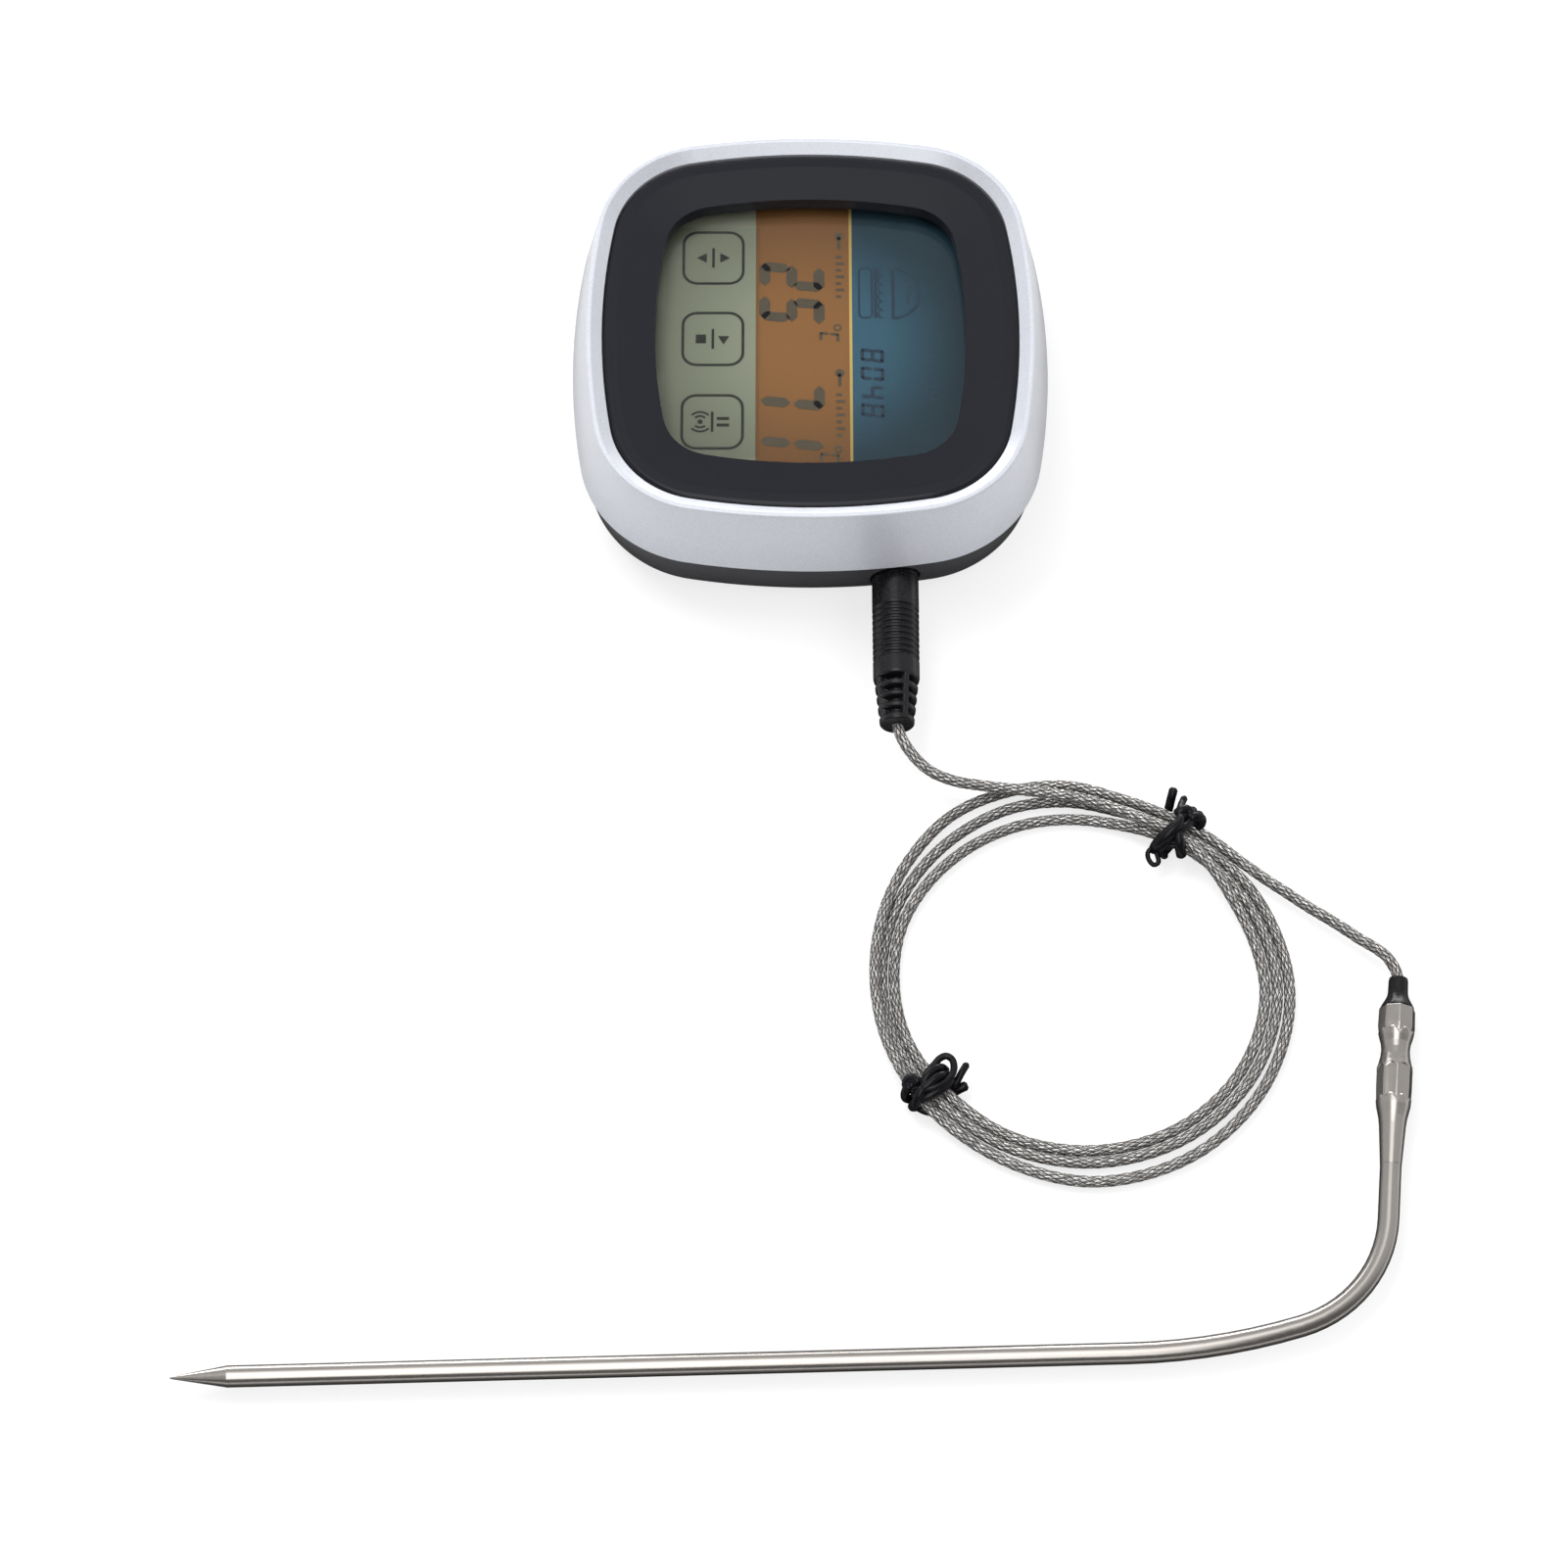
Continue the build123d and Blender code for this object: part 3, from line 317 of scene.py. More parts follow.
def pale_floor():
    """White floor with faint shadows, painted dark as painted contact shade where mirrors see it up close, and
    gone for a camera below it.
    """
    own_glow = 0.72
    tree, shader, place = new_finish("studio_floor")
    cloud = noise(tree, place, 120.0, 2.0)
    seen = blend_colour(tree, cloud, (0.93, 0.93, 0.935), (0.95, 0.95, 0.95))
    path = node(tree, "ShaderNodeLightPath").outputs
    # painted contact shade: what mirrors see of the floor is dark within a few millimetres and brighter further
    # off
    near = calc(tree, "DIVIDE", path["Ray Length"], MM)
    depth = calc(tree, "ADD", ramp(tree, near, 2.0, 30.0, 0.03, 0.5), ramp(tree, near, 150.0, 500.0, 0, 0.3))
    mirrored = node(tree, "ShaderNodeCombineColor", {0: depth, 1: depth, 2: depth}).outputs[0]
    colours = blend_colour(tree, path["Is Glossy Ray"], seen, mirrored)
    tree.links.new(colours, shader.inputs["Base Color"])
    shader.inputs["Roughness"].default_value = 0.9
    shader.inputs["Specular IOR Level"].default_value = 0.1
    white = node(tree, "ShaderNodeEmission", {"Color": (1, 1, 1, 1), "Strength": 1.02}).outputs[0]
    lift = calc(tree, "MULTIPLY", path["Is Camera Ray"], own_glow)
    lit = node(tree, "ShaderNodeMixShader", {0: lift, 1: shader.outputs[0], 2: white}).outputs[0]
    spaces = {"vector_type": "POINT", "convert_from": "CAMERA", "convert_to": "WORLD"}
    eye = node(tree, "ShaderNodeVectorTransform", {0: (0, 0, 0)}, **spaces).outputs[0]
    eye_height = node(tree, "ShaderNodeSeparateXYZ", {0: eye}).outputs[2]
    below = calc(tree, "LESS_THAN", eye_height, 0.0)
    clear = node(tree, "ShaderNodeBsdfTransparent").outputs[0]
    mixed = node(tree, "ShaderNodeMixShader", {0: below, 1: lit, 2: clear}).outputs[0]
    tree.links.new(mixed, tree.nodes["Material Output"].inputs["Surface"])


silver_paint()
display_glass()
steel_braid()
pale_floor()
clear_sheet("lens_glass", (0.95, 0.96, 0.96), 0.5)
clear_sheet("clear_film", (0.97, 0.98, 0.97), 0.2)
moulded("bezel_plastic", (0.008, 0.0085, 0.012), 0.22, 0.5, 0.0006, 0.05, 0.28)
moulded("colour_film", (0.3, 0.2, 0.12), 0.5)
moulded("black_plastic", (0.02, 0.02, 0.021), 0.4)
moulded("cover_plastic", (0.045, 0.045, 0.050), 0.36, 0.16, 0.012, 0.2, 0.9)
moulded("knob_plastic", (0.06, 0.06, 0.065), 0.45, 0.2, 0.015)
moulded("plug_plastic", (0.0055, 0.0055, 0.007), 0.27, 0.25, 0.001)
moulded("elastomer", (0.5, 0.25, 0.33), 0.6)
moulded("circuit_board", (0.015, 0.14, 0.05), 0.35, 0.6, 0.01)
moulded("potting", (0.012, 0.012, 0.012), 0.2, 1.5, 0.03)
moulded("cell_wrap", (0.06, 0.07, 0.10), 0.25, 2.0, 0.01, 0.3)
moulded("wire_cover", (0.30, 0.02, 0.02), 0.4, 0.4, 0.004)
moulded("shrink_sleeve", (0.004, 0.004, 0.005), 0.28, 0.5, 0.004, 0.0, 0.4)
moulded("tie_vinyl", (0.0035, 0.0035, 0.0050), 0.24, 0.6, 0.006, 0.0, 0.3)
moulded("display_ink", (0.068, 0.050, 0.028), 0.5, 0.3, 0.001)
moulded("key_ink", (0.010, 0.011, 0.009), 0.5, 0.3, 0.001)
moulded("ghost_ink", (0.006, 0.026, 0.050), 0.5, 0.3, 0.001)
drawn_metal("zinc_steel", (0.62, 0.62, 0.60), 0.35, 0.2, (1, 1, 4))
drawn_metal("nickel", (0.70, 0.69, 0.66), 0.22, 0.2, (1, 6, 1))
drawn_metal("probe_steel", (0.60, 0.565, 0.53), 0.22, 0.10, (40, 2, 1), 0.0006, 0.10)
drawn_metal("crimp_steel", (0.60, 0.565, 0.53), 0.24, 0.10, (2, 40, 1), 0.0008, 0.10)

for part in frame["record"]["subparts"]:
    for slot in frame["nodes"][part["node"]].material_slots:
        slot.material = finishes[part["material_slot"]]


# ---- meshes ----
def add_piece(name, points, faces, finish, body, slot_name=None, run=None, flat=False):
    """A mesh piece from points in millimetres, riding on a body unless body is None."""
    mesh = bpy.data.meshes.new(name)
    mesh.from_pydata((np.asarray(points, float) * MM).tolist(), [], faces)
    if run is not None:
        layer = mesh.uv_layers.new(name="run")
        layer.data.foreach_set("uv", np.asarray(run, np.float32).ravel())
    mesh.polygons.foreach_set("use_smooth", [not flat] * len(mesh.polygons))
    mesh.materials.append(finishes[finish])
    piece = bpy.data.objects.new(name, mesh)
    bpy.context.scene.collection.objects.link(piece)
    if body:
        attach(piece, body)
    return piece


def through(points, step):
    """Evenly spaced points on a smooth curve through the given ones."""
    knots = np.array(points, float)
    reach = np.concatenate(([0], np.cumsum(np.linalg.norm(np.diff(knots, axis=0), axis=1))))
    slope = np.gradient(knots, reach, axis=0)
    dense = np.linspace(0, reach[-1], int(reach[-1] / step * 3) + 8)
    i = np.clip(np.searchsorted(reach, dense, side="right") - 1, 0, len(reach) - 2)
    gap = (reach[i + 1] - reach[i])[:, None]
    u = (dense - reach[i])[:, None] / gap
    curve = (
        (2 * u**3 - 3 * u**2 + 1) * knots[i]
        + (u**3 - 2 * u**2 + u) * gap * slope[i]
        + (3 * u**2 - 2 * u**3) * knots[i + 1]
        + (u**3 - u**2) * gap * slope[i + 1]
    )
    run = np.concatenate(([0], np.cumsum(np.linalg.norm(np.diff(curve, axis=0), axis=1))))
    marks = np.linspace(0, run[-1], max(4, round(run[-1] / step)) + 1)
    return np.stack([np.interp(marks, run, curve[:, axis]) for axis in range(3)], axis=1)


def path_frames(path):
    """Twist-free side and up vectors at each point of a path."""
    tangent = np.gradient(path, axis=0)
    tangent /= np.linalg.norm(tangent, axis=1)[:, None]
    start = np.cross(tangent[0], (0, 0, 1))
    current = start if np.linalg.norm(start) > 0.1 else np.array((1.0, 0, 0))
    side = np.empty_like(path)
    for i, forward in enumerate(tangent):
        current = current - forward * (current @ forward)
        current = current / np.linalg.norm(current)
        side[i] = current
    return side, np.cross(tangent, side)


def tube_mesh(path, frames, radii):
    """Points and faces of a closed tube; radii has a row per path point and a column per side."""
    count, sides = radii.shape
    angle = np.linspace(0, 2 * pi, sides, endpoint=False)
    side, up = frames
    ring = side[:, None] * np.cos(angle)[:, None] + up[:, None] * np.sin(angle)[:, None]
    points = (path[:, None] + radii[..., None] * ring).reshape(-1, 3)
    i, j = np.meshgrid(np.arange(count - 1), np.arange(sides), indexing="ij")
    k = (j + 1) % sides
    quads = np.stack([i * sides + j, i * sides + k, (i + 1) * sides + k, (i + 1) * sides + j], -1)
    faces = quads.reshape(-1, 4).tolist()
    first, last = count * sides, count * sides + 1
    end = (count - 1) * sides
    for j in range(sides):
        k = (j + 1) % sides
        faces.append([first, k, j])
        faces.append([last, end + j, end + k])
    return np.vstack([points, path[0], path[-1]]), faces


def rod(points, radius, step=0.35, sides=14, blunt=0.25):
    """Points and faces of a round rod with softened ends."""
    path = through(points, step)
    run = np.linspace(0, 1, len(path)) * (len(path) - 1) * step
    edge = np.minimum(run, run[-1] - run)
    taper = np.sqrt(np.clip(1 - np.clip(1 - edge / blunt, 0, 1) ** 2 * 0.7, 0.05, 1))
    radii = np.repeat((radius * taper)[:, None], sides, axis=1)
    return tube_mesh(path, path_frames(path), radii)


def joined(meshes):
    """Several point and face lists as one."""
    points, faces, offset = [], [], 0
    for some_points, some_faces in meshes:
        points.append(np.asarray(some_points, float))
        faces += [[corner + offset for corner in face] for face in some_faces]
        offset += len(some_points)
    return np.vstack(points), faces


# ---- braided cable ----
cable_radius = 0.9
coil_centre = pivot("cable_bend") + Vector((21.3, -33.0, 0))
rest_height = cable_radius + 0.05
tie_height = 2.35
# clockwise from the top of the coil: angle, then radius and height of the three lanes
lane_stations = (
    (60, (27.2, 2.2), (28.9, 1.5), (30.7, 1.5)),
    (75, (27.4, 1.3), (29.3, 1.05), (31.1, 1.05)),
    (90, (27.8, rest_height), (29.65, rest_height), (31.5, rest_height)),
    (120, (27.5, rest_height), (29.4, rest_height), (31.7, rest_height)),
    (150, (27.2, rest_height), (29.1, rest_height), (32.0, rest_height)),
    (180, (27.1, rest_height), (29.0, rest_height), (32.0, rest_height)),
    (205, (27.4, 1.3), (29.15, 1.3), (31.2, 1.3)),
    (232, (27.8, tie_height), (29.5, tie_height), (31.2, tie_height)),
    (252, (28.2, 1.4), (29.95, 1.4), (31.2, 2.6)),
    (270, (28.4, rest_height), (30.25, rest_height), (31.3, 2.4)),
    (290, (28.8, rest_height), (30.65, rest_height), (32.0, 2.2)),
    (309, (28.65, rest_height), (30.95, rest_height), (33.2, 1.4)),
    (327, (28.45, rest_height), (31.3, rest_height), (34.5, rest_height)),
    (342, (28.3, rest_height), (31.5, rest_height), (34.4, rest_height)),
    (358, (28.0, rest_height), (31.0, rest_height), (33.8, rest_height)),
    (372, (27.7, 1.2), (30.0, 1.2), (32.2, 1.3)),
    (390, (27.75, tie_height), (29.5, tie_height), (31.25, tie_height)),
)
# the plug's tail: it comes down onto the coil and crosses over the strands to the upper tie
plug_axis = middle("plug_sleeve")
plug_end_y = low("plug_body").y
tail_in = (
    (plug_axis.x, plug_end_y + 9, plug_axis.z),
    (plug_axis.x, plug_end_y + 4, plug_axis.z),
    (plug_axis.x, plug_end_y + 0.5, plug_axis.z),
    (plug_axis.x + 0.7, plug_end_y - 2.0, plug_axis.z - 0.2),
    (plug_axis.x + 2.3, plug_end_y - 4.5, plug_axis.z - 0.9),
    (plug_axis.x + 4.9, plug_end_y - 6.9, plug_axis.z - 1.6),
    (plug_axis.x + 8.6, plug_end_y - 8.4, plug_axis.z - 2.2),
    (plug_axis.x + 12.7, plug_end_y - 9.0, plug_axis.z - 2.6),
    (plug_axis.x + 16.9, plug_end_y - 9.35, plug_axis.z - 3.0),
    (plug_axis.x + 20.7, plug_end_y - 9.7, plug_axis.z - 3.2),
    (plug_axis.x + 24.5, plug_end_y - 10.2, plug_axis.z - 3.25),
)
tail_stations = ((0, 30.7, 3.2), (9, 29.6, 3.3), (19, 28.6, 3.6), (30, 28.4, 4.05), (45, 27.8, 3.5))
upper_tie_turn = 30
lower_tie_turn = 232


def on_coil(turn, radius, height):
    """The point this far clockwise round the coil, in degrees from its top."""
    return (
        coil_centre.x + radius * sin(radians(turn)),
        coil_centre.y + radius * cos(radians(turn)),
        height,
    )


def end_of(node_name, direction, sign):
    """Centre of a turned part's end ring, found along its axis."""
    points = np.array([vertex.co for vertex in frame["nodes"][node_name].data.vertices]) / MM
    reach = points @ np.array(direction) * sign
    ring = points[reach > reach.max() - 0.02]
    return Vector((ring.min(0) + ring.max(0)) / 2)


shank = Vector((cos(radians(84.25)), sin(radians(84.25)), 0))
crimp_base = end_of("crimp_sleeve", shank, -1)
flex_b = pivot("probe_swing")


def cable_points():
    """Centre line of the whole cable, from inside the plug to inside the crimp sleeve."""
    points = list(tail_in)
    points += [on_coil(*station) for station in tail_stations]
    for lap in range(3):
        for turn, *lanes in lane_stations:
            points.append(on_coil(turn + 360 * lap, *lanes[lap]))
    points.append(on_coil(41, 31.6, 2.2))
    points.append(on_coil(52, 32.25, 2.1))
    points.append(on_coil(58, 33.2, 2.15))
    along = Vector((0.79, -0.61, 0))
    points.append(tuple(flex_b - along * 0.2))
    points.append(tuple(flex_b + along * 3.5 + Vector((0, 0, 0.1))))
    points.append(tuple(flex_b + along * 8.4 + Vector((0.1, 0.2, 0.2))))
    points.append(tuple(flex_b + along * 12.5 + Vector((0.1, 0.2, 0.35))))
    mouth = crimp_base + shank * 25.3
    points.append(tuple(mouth + shank * 2.7 + Vector((-1.35, 0.2, 0))))
    points.append(tuple(mouth + shank * 0.8 + Vector((-0.3, 0, 0))))
    points.append(tuple(mouth - shank * 1.2))
    points.append(tuple(mouth - shank * 5.0))
    return points


def braid_radii(run, sides):
    """Radius of the woven surface for each point along and around the cable."""
    around = np.arange(sides)[None, :] / sides
    along = run[:, None] / braid_pitch
    left = braid_carriers * (around - along)
    right = braid_carriers * (around + along)
    surface = np.full(left.shape, cable_radius - 0.2)
    for own, other, sign in ((left, right, 1), (right, left, -1)):
        across = (own - np.floor(own)) * 2 - 1
        wave = sign * np.sin(pi * other) * np.where(np.floor(own) % 2 == 0, 1, -1)
        surface = np.maximum(surface, cable_radius - 0.08 + 0.08 * wave - 0.13 * across**2)
    return surface


def build_cable():
    """One centre line, cut under the upper tie into the three lengths that the joints need."""
    step, sides = 0.3, 40
    path = through(cable_points(), step)
    side, up = path_frames(path)
    run = np.arange(len(path)) * step
    radii = braid_radii(run, sides)
    # the upper tie holds the plug's tail on top of the lanes, and the outer lane where it leaves
    tail_under_tie = np.array(on_coil(*tail_stations[3]))
    leave_under_tie = np.array(on_coil(upper_tie_turn, *lane_stations[-1][3]))
    half = len(path) // 2
    first_cut = int(np.argmin(np.linalg.norm(path[:half] - tail_under_tie, axis=1)))
    last_cut = half + int(np.argmin(np.linalg.norm(path[half:] - leave_under_tie, axis=1)))
    lengths = {
        "braid_plug_tail": (0, first_cut),
        "braid_coil": (first_cut, last_cut),
        "braid_probe_tail": (last_cut, len(path) - 1),
    }
    pieces = {}
    for name, (start, end) in lengths.items():
        cut = slice(start, end + 1)
        points, faces = tube_mesh(path[cut], (side[cut], up[cut]), radii[cut])
        j = np.arange(sides)
        uv_around = np.stack([j, j + 1, j + 1, j], -1) / sides
        uv_along = run[cut] / braid_pitch
        quads = np.empty((end - start, sides, 4, 2), np.float32)
        quads[..., 0] = uv_around[None]
        quads[..., 1] = np.stack([uv_along[:-1], uv_along[:-1], uv_along[1:], uv_along[1:]], -1)[:, None]
        caps = np.zeros((sides * 2 * 3, 2), np.float32)
        uv = np.vstack([quads.reshape(-1, 2), caps])
        pieces[name] = add_piece(name, points, faces, "steel_braid", None, run=uv)
    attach(pieces["braid_coil"], "coil")
    for name, hinge, bodies, heading in (
        ("braid_plug_tail", "cable_bend", ("lead", "coil"), Vector((0.93, -0.37, 0))),
        ("braid_probe_tail", "probe_swing", ("coil", "probe"), Vector((0.79, -0.61, 0))),
    ):
        place = pivot(hinge)
        start, end = place - heading * 4.5, place + heading * 4.5
        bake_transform(pieces[name])
    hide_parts("cable_plug_tail")
    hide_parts("cable_coil")
    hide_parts("cable_probe_tail")


build_cable()

# ---- twist ties ----
def tie(name, turn, bundle_radius, node_name, wires):
    """A twist tie: wires of a radius through points given as (out, along, up) from under the bundle."""
    outward = Vector((sin(radians(turn)), cos(radians(turn)), 0))
    along = Vector((cos(radians(turn)), -sin(radians(turn)), 0))
    centre = Vector((coil_centre.x, coil_centre.y, 0)) + outward * bundle_radius
    meshes = []
    for radius, points in wires:
        placed = [tuple(centre + outward * o + along * t + Vector((0, 0, z))) for o, t, z in points]
        meshes.append(rod(placed, radius))
    piece = add_piece(name, *joined(meshes), "tie_vinyl", "coil")
    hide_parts(node_name)


tie(
    "tie_upper",
    upper_tie_turn,
    29.65,
    "twist_tie_upper",
    (
        # two full turns side by side, and a third lying over them
        (
            0.72,
            [(1.9, 0.9, 5.3), (0.4, 0.7, 5.5), (-1.4, 0.3, 5.8), (-3.0, -0.3, 5.3), (-4.3, -0.8, 4.2)]
            + [(-4.7, -1.0, 2.6), (-3.2, -0.8, 0.95), (0, -0.2, 0.75), (2.6, 0.5, 0.95), (3.9, 1.0, 2.0)]
            + [(3.6, 1.4, 3.7), (2.2, 1.8, 4.8), (0.4, 2.0, 5.2), (-1.2, 1.4, 5.75), (-2.8, 0.8, 5.3)]
            + [(-4.1, 0.4, 4.3), (-4.7, 0.2, 2.8), (-3.3, 0.4, 0.95), (0, 0.9, 0.75), (2.7, 1.6, 0.95)]
            + [(3.9, 2.2, 2.2), (3.1, 2.6, 4.1), (1.9, 2.4, 5.0)],
        ),
        (0.72, [(1.4, 0.2, 5.4), (-0.2, 0.9, 6.1), (-1.6, 0.8, 6.3), (-3.1, 0.2, 5.9), (-4.4, -0.3, 4.7)]
            + [(-5.0, -0.7, 3.4)]),
        # the twist over the outer strand
        (0.8, [(0.8, -0.3, 5.3), (1.8, 0.2, 5.8), (2.5, 0.9, 5.5), (2.0, 1.7, 5.3), (1.2, 1.6, 5.6)]),
        (0.8, [(1.3, 1.7, 5.2), (2.1, 2.4, 5.3), (2.7, 3.2, 4.5), (2.4, 3.4, 3.4), (1.7, 3.0, 2.8)]),
        # two cut ends, on the outer side
        (0.7, [(5.5, -2.9, 4.2), (4.2, -2.6, 3.3), (3.3, -2.4, 1.7), (2.3, -2.2, 0.75)]),
        (0.56, [(5.3, -0.8, 3.5), (4.1, -0.7, 3.7), (3.1, -0.5, 4.3), (1.9, -0.2, 5.0)]),
        # a small eye and a cut end, on the inner side
        (0.38, [(-4.9, -1.2, 3.3), (-5.8, -1.4, 2.9), (-6.6, -0.7, 2.4), (-6.8, 0.3, 2.1), (-6.2, 0.7, 2.2)]
            + [(-5.5, 0.2, 2.6), (-5.0, -0.5, 3.1)]),
        (0.62, [(-4.4, -0.3, 3.5), (-4.8, 0.7, 2.9), (-4.9, 1.4, 2.4)]),
        (0.42, [(-4.1, -0.3, 4.0), (-3.9, 1.0, 4.3), (-3.3, 2.3, 4.6)]),
        (0.82, [(-1.5, 1.3, 5.5), (-2.6, 2.1, 5.4), (-3.4, 2.8, 4.4), (-3.9, 3.5, 3.0)]),
    ),
)
tie(
    "tie_lower",
    lower_tie_turn,
    29.5,
    "twist_tie_lower",
    (
        # two full turns
        (
            0.7,
            [(2.4, 1.6, 3.4), (1.5, 0.9, 4.2), (-0.8, 0.4, 4.5), (-2.9, 1.0, 3.7), (-3.7, 1.4, 2.3)]
            + [(-2.6, 0.9, 0.85), (0, 0.2, 0.75), (2.5, -0.2, 0.85), (3.5, -0.1, 2.0), (2.7, -0.2, 3.4)]
            + [(1.4, -0.9, 4.2), (-0.7, -1.3, 4.4), (-2.8, -1.0, 3.8), (-3.7, -0.4, 2.3), (-2.6, 0.2, 0.85)]
            + [(0, 0.9, 0.75), (2.6, 1.3, 0.9), (3.4, 1.7, 2.1), (2.7, 2.2, 3.5), (1.5, 1.9, 4.4)],
        ),
        (0.7, [(1.0, 0.8, 4.9), (-0.6, 1.4, 5.3), (-2.2, 1.6, 5.1), (-3.2, 1.2, 4.5), (-3.6, 0.6, 3.5)]),
        (0.7, [(1.6, 0.5, 4.8), (0.2, 0.2, 5.2), (-1.4, 0.3, 5.3), (-2.6, 0.1, 4.8), (-3.4, -0.2, 3.8)]),
        # the standing loop
        (
            0.54,
            [(0.1, 1.6, 4.6), (-1.4, 2.1, 4.8), (-2.6, 2.3, 4.9), (-3.9, 2.5, 5.0), (-4.8, 2.2, 5.0)]
            + [(-5.1, 1.3, 5.0), (-4.7, 0.3, 5.0), (-3.7, -0.6, 5.0), (-2.3, -1.0, 5.0), (-0.6, -0.8, 5.1)]
            + [(0.9, -0.1, 4.9), (2.0, 0.5, 4.2)],
        ),
        # cut ends on the inner side
        (0.56, [(-7.2, 0.1, 2.6), (-5.3, -0.7, 2.7), (-3.8, -1.3, 2.0), (-2.6, -1.5, 0.8)]),
        (0.75, [(-5.3, -2.4, 1.7), (-4.4, -2.1, 1.5), (-3.1, -1.7, 0.9), (-2.2, -1.5, 0.8)]),
        # the twist and a cut end on the outer side
        (0.8, [(1.1, 1.2, 4.8), (1.2, 2.4, 4.7), (1.9, 3.0, 4.0), (2.5, 2.5, 3.6), (2.3, 1.5, 4.0)]),
        (0.7, [(1.0, 0.4, 5.0), (2.1, 0.0, 4.7), (3.0, -0.3, 3.9), (3.7, -0.9, 2.7)]),
        (0.6, [(2.7, -0.3, 0.95), (2.0, -1.6, 0.8), (1.3, -2.4, 0.7)]),
    ),
)


# ---- plug: rounded grip rings, and a strain relief of windows between four webs ----
groove_count, groove_start, groove_pitch = 9, 7.62, 1.06
groove_half_width, groove_depth = 0.34, 0.36
window_count, window_start, window_pitch = 4, 20.28, 1.85
window_half_length, window_fade = 0.62, 0.2
web_turn, web_half_width, web_fade = 28, 0.5, 0.2
relief_core_radius = 1.75


def plug_grip():
    """The overmould as one height field round the plug's axis."""
    front_y = high("plug_body").y
    length = front_y - low("plug_body").y
    radius = (high("plug_body").x - low("plug_body").x) / 2
    step, sides = 0.1, 120
    run = np.linspace(0, length, round(length / step) + 1)
    angle = np.linspace(0, 360, sides, endpoint=False)
    stations = (
        (0, radius - 0.4), (0.15, radius - 0.12), (0.4, radius), (7.1, radius), (19.2, radius - 0.05),
        (20.1, radius - 0.25), (length - 0.9, 2.75), (length - 0.25, 2.7), (length, 2.45),
    )
    outline = np.interp(run, *zip(*stations))
    grooves = np.zeros_like(run)
    for groove in range(groove_count):
        offset = (run - (groove_start + groove_pitch * groove)) / groove_half_width
        grooves = np.maximum(grooves, np.clip(1 - offset**2, 0, 1) ** 0.6)
    outline = outline - groove_depth * grooves
    off_web = np.abs((angle + web_turn + 45) % 90 - 45)
    off_web = np.minimum(off_web, 90 - off_web)
    web_reach = off_web[None, :] * outline[:, None] * pi / 180
    web_side = np.clip((web_reach - web_half_width) / web_fade + 0.5, 0, 1)
    windows = np.zeros_like(run)
    for row in range(window_count):
        offset = np.abs(run - (window_start + window_pitch * row))
        windows = np.maximum(windows, np.clip((window_half_length - offset) / window_fade, 0, 1))
    depth = outline[:, None] - relief_core_radius
    soft = windows[:, None] ** 0.8 * (3 * web_side**2 - 2 * web_side**3)
    radii = outline[:, None] - depth * soft
    path = np.array([(plug_axis.x, front_y - distance, plug_axis.z) for distance in run])
    frames = (np.tile((1.0, 0, 0), (len(run), 1)), np.tile((0, 0, 1.0), (len(run), 1)))
    points, faces = tube_mesh(path, frames, radii)
    piece = add_piece("plug_grip", points, faces, "plug_plastic", "plug")
    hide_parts("plug_body")


plug_grip()


# ---- crimp sleeve with pressed flats, and the shrink sleeve over its mouth ----
def shank_frames(count):
    """Side and up vectors along the straight shank."""
    side = Vector((0, 0, 1)).cross(shank)
    return np.tile(tuple(side), (count, 1)), np.tile((0, 0, 1.0), (count, 1))


# distance from the sleeve's base, and radius before pressing
crimp_start, crimp_end = -5.4, 20
crimp_stations = (
    (-0.3, 1.92), (1.0, 2.0), (2.2, 2.14), (3.2, 2.35), (4.1, 2.55), (5.5, 2.68), (7.3, 2.74), (9.6, 2.74),
    (10.4, 2.66), (11.1, 2.45), (12.2, 2.22), (13.3, 2.14), (14.3, 2.24), (15.2, 2.5), (16.2, 2.74),
    (17, 2.84), (19.8, 2.78), (crimp_end, 2.7),
)
pressed_lengths = ((4.4, 10.6, 1.0), (15.3, 21.0, 0.9))


def crimp_flats():
    """A drawn sleeve, pressed to eight flats at its mouth and over its middle, thinning into the tube."""
    tube_radius = (high("probe_tube").z - low("probe_tube").z) / 2
    run = np.linspace(crimp_start, crimp_end, 255)
    sides = 128
    angle = np.linspace(0, 360, sides, endpoint=False)
    stations = ((crimp_start, tube_radius + 0.01), *crimp_stations)
    round_radius = np.interp(run, *zip(*stations))
    flat_angle, first_corner = 45, 4
    half_flat = radians(flat_angle / 2)
    within = radians(flat_angle) * ((angle - first_corner) / flat_angle % 1 - 0.5)
    corner = (np.abs(within) / half_flat) ** 2
    flat = np.minimum(cos(half_flat) / np.cos(within), 0.985)
    # the pressed lengths end in points, because the tool's jaws are chamfered
    point, fade = 0.9, 0.25
    pressed = np.zeros((len(run), sides))
    for start, end, depth in pressed_lengths:
        low_end = (run[:, None] - start - point * (1 - corner)[None, :]) / fade
        high_end = (end - run[:, None] - point * corner[None, :]) / fade
        pressed = np.maximum(pressed, depth * np.clip(low_end, 0, 1) * np.clip(high_end, 0, 1))
    radii = round_radius[:, None] * (1 - pressed * (1 - flat)[None, :] * 1.15)
    path = np.array([tuple(crimp_base + shank * distance) for distance in run])
    points, faces = tube_mesh(path, shank_frames(len(run)), radii)
    piece = add_piece("crimp_flats", points, faces, "crimp_steel", "probe", "probe_steel")
    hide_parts("crimp_sleeve")


# distance from the crimp's mouth, and radius
shrink_stations = (
    (0, 2.45), (0.2, 2.5), (0.6, 2.32), (1.1, 2.04), (1.6, 1.8), (2.2, 1.6), (2.8, 1.51), (4.7, 1.48),
    (5.1, 1.4),
)


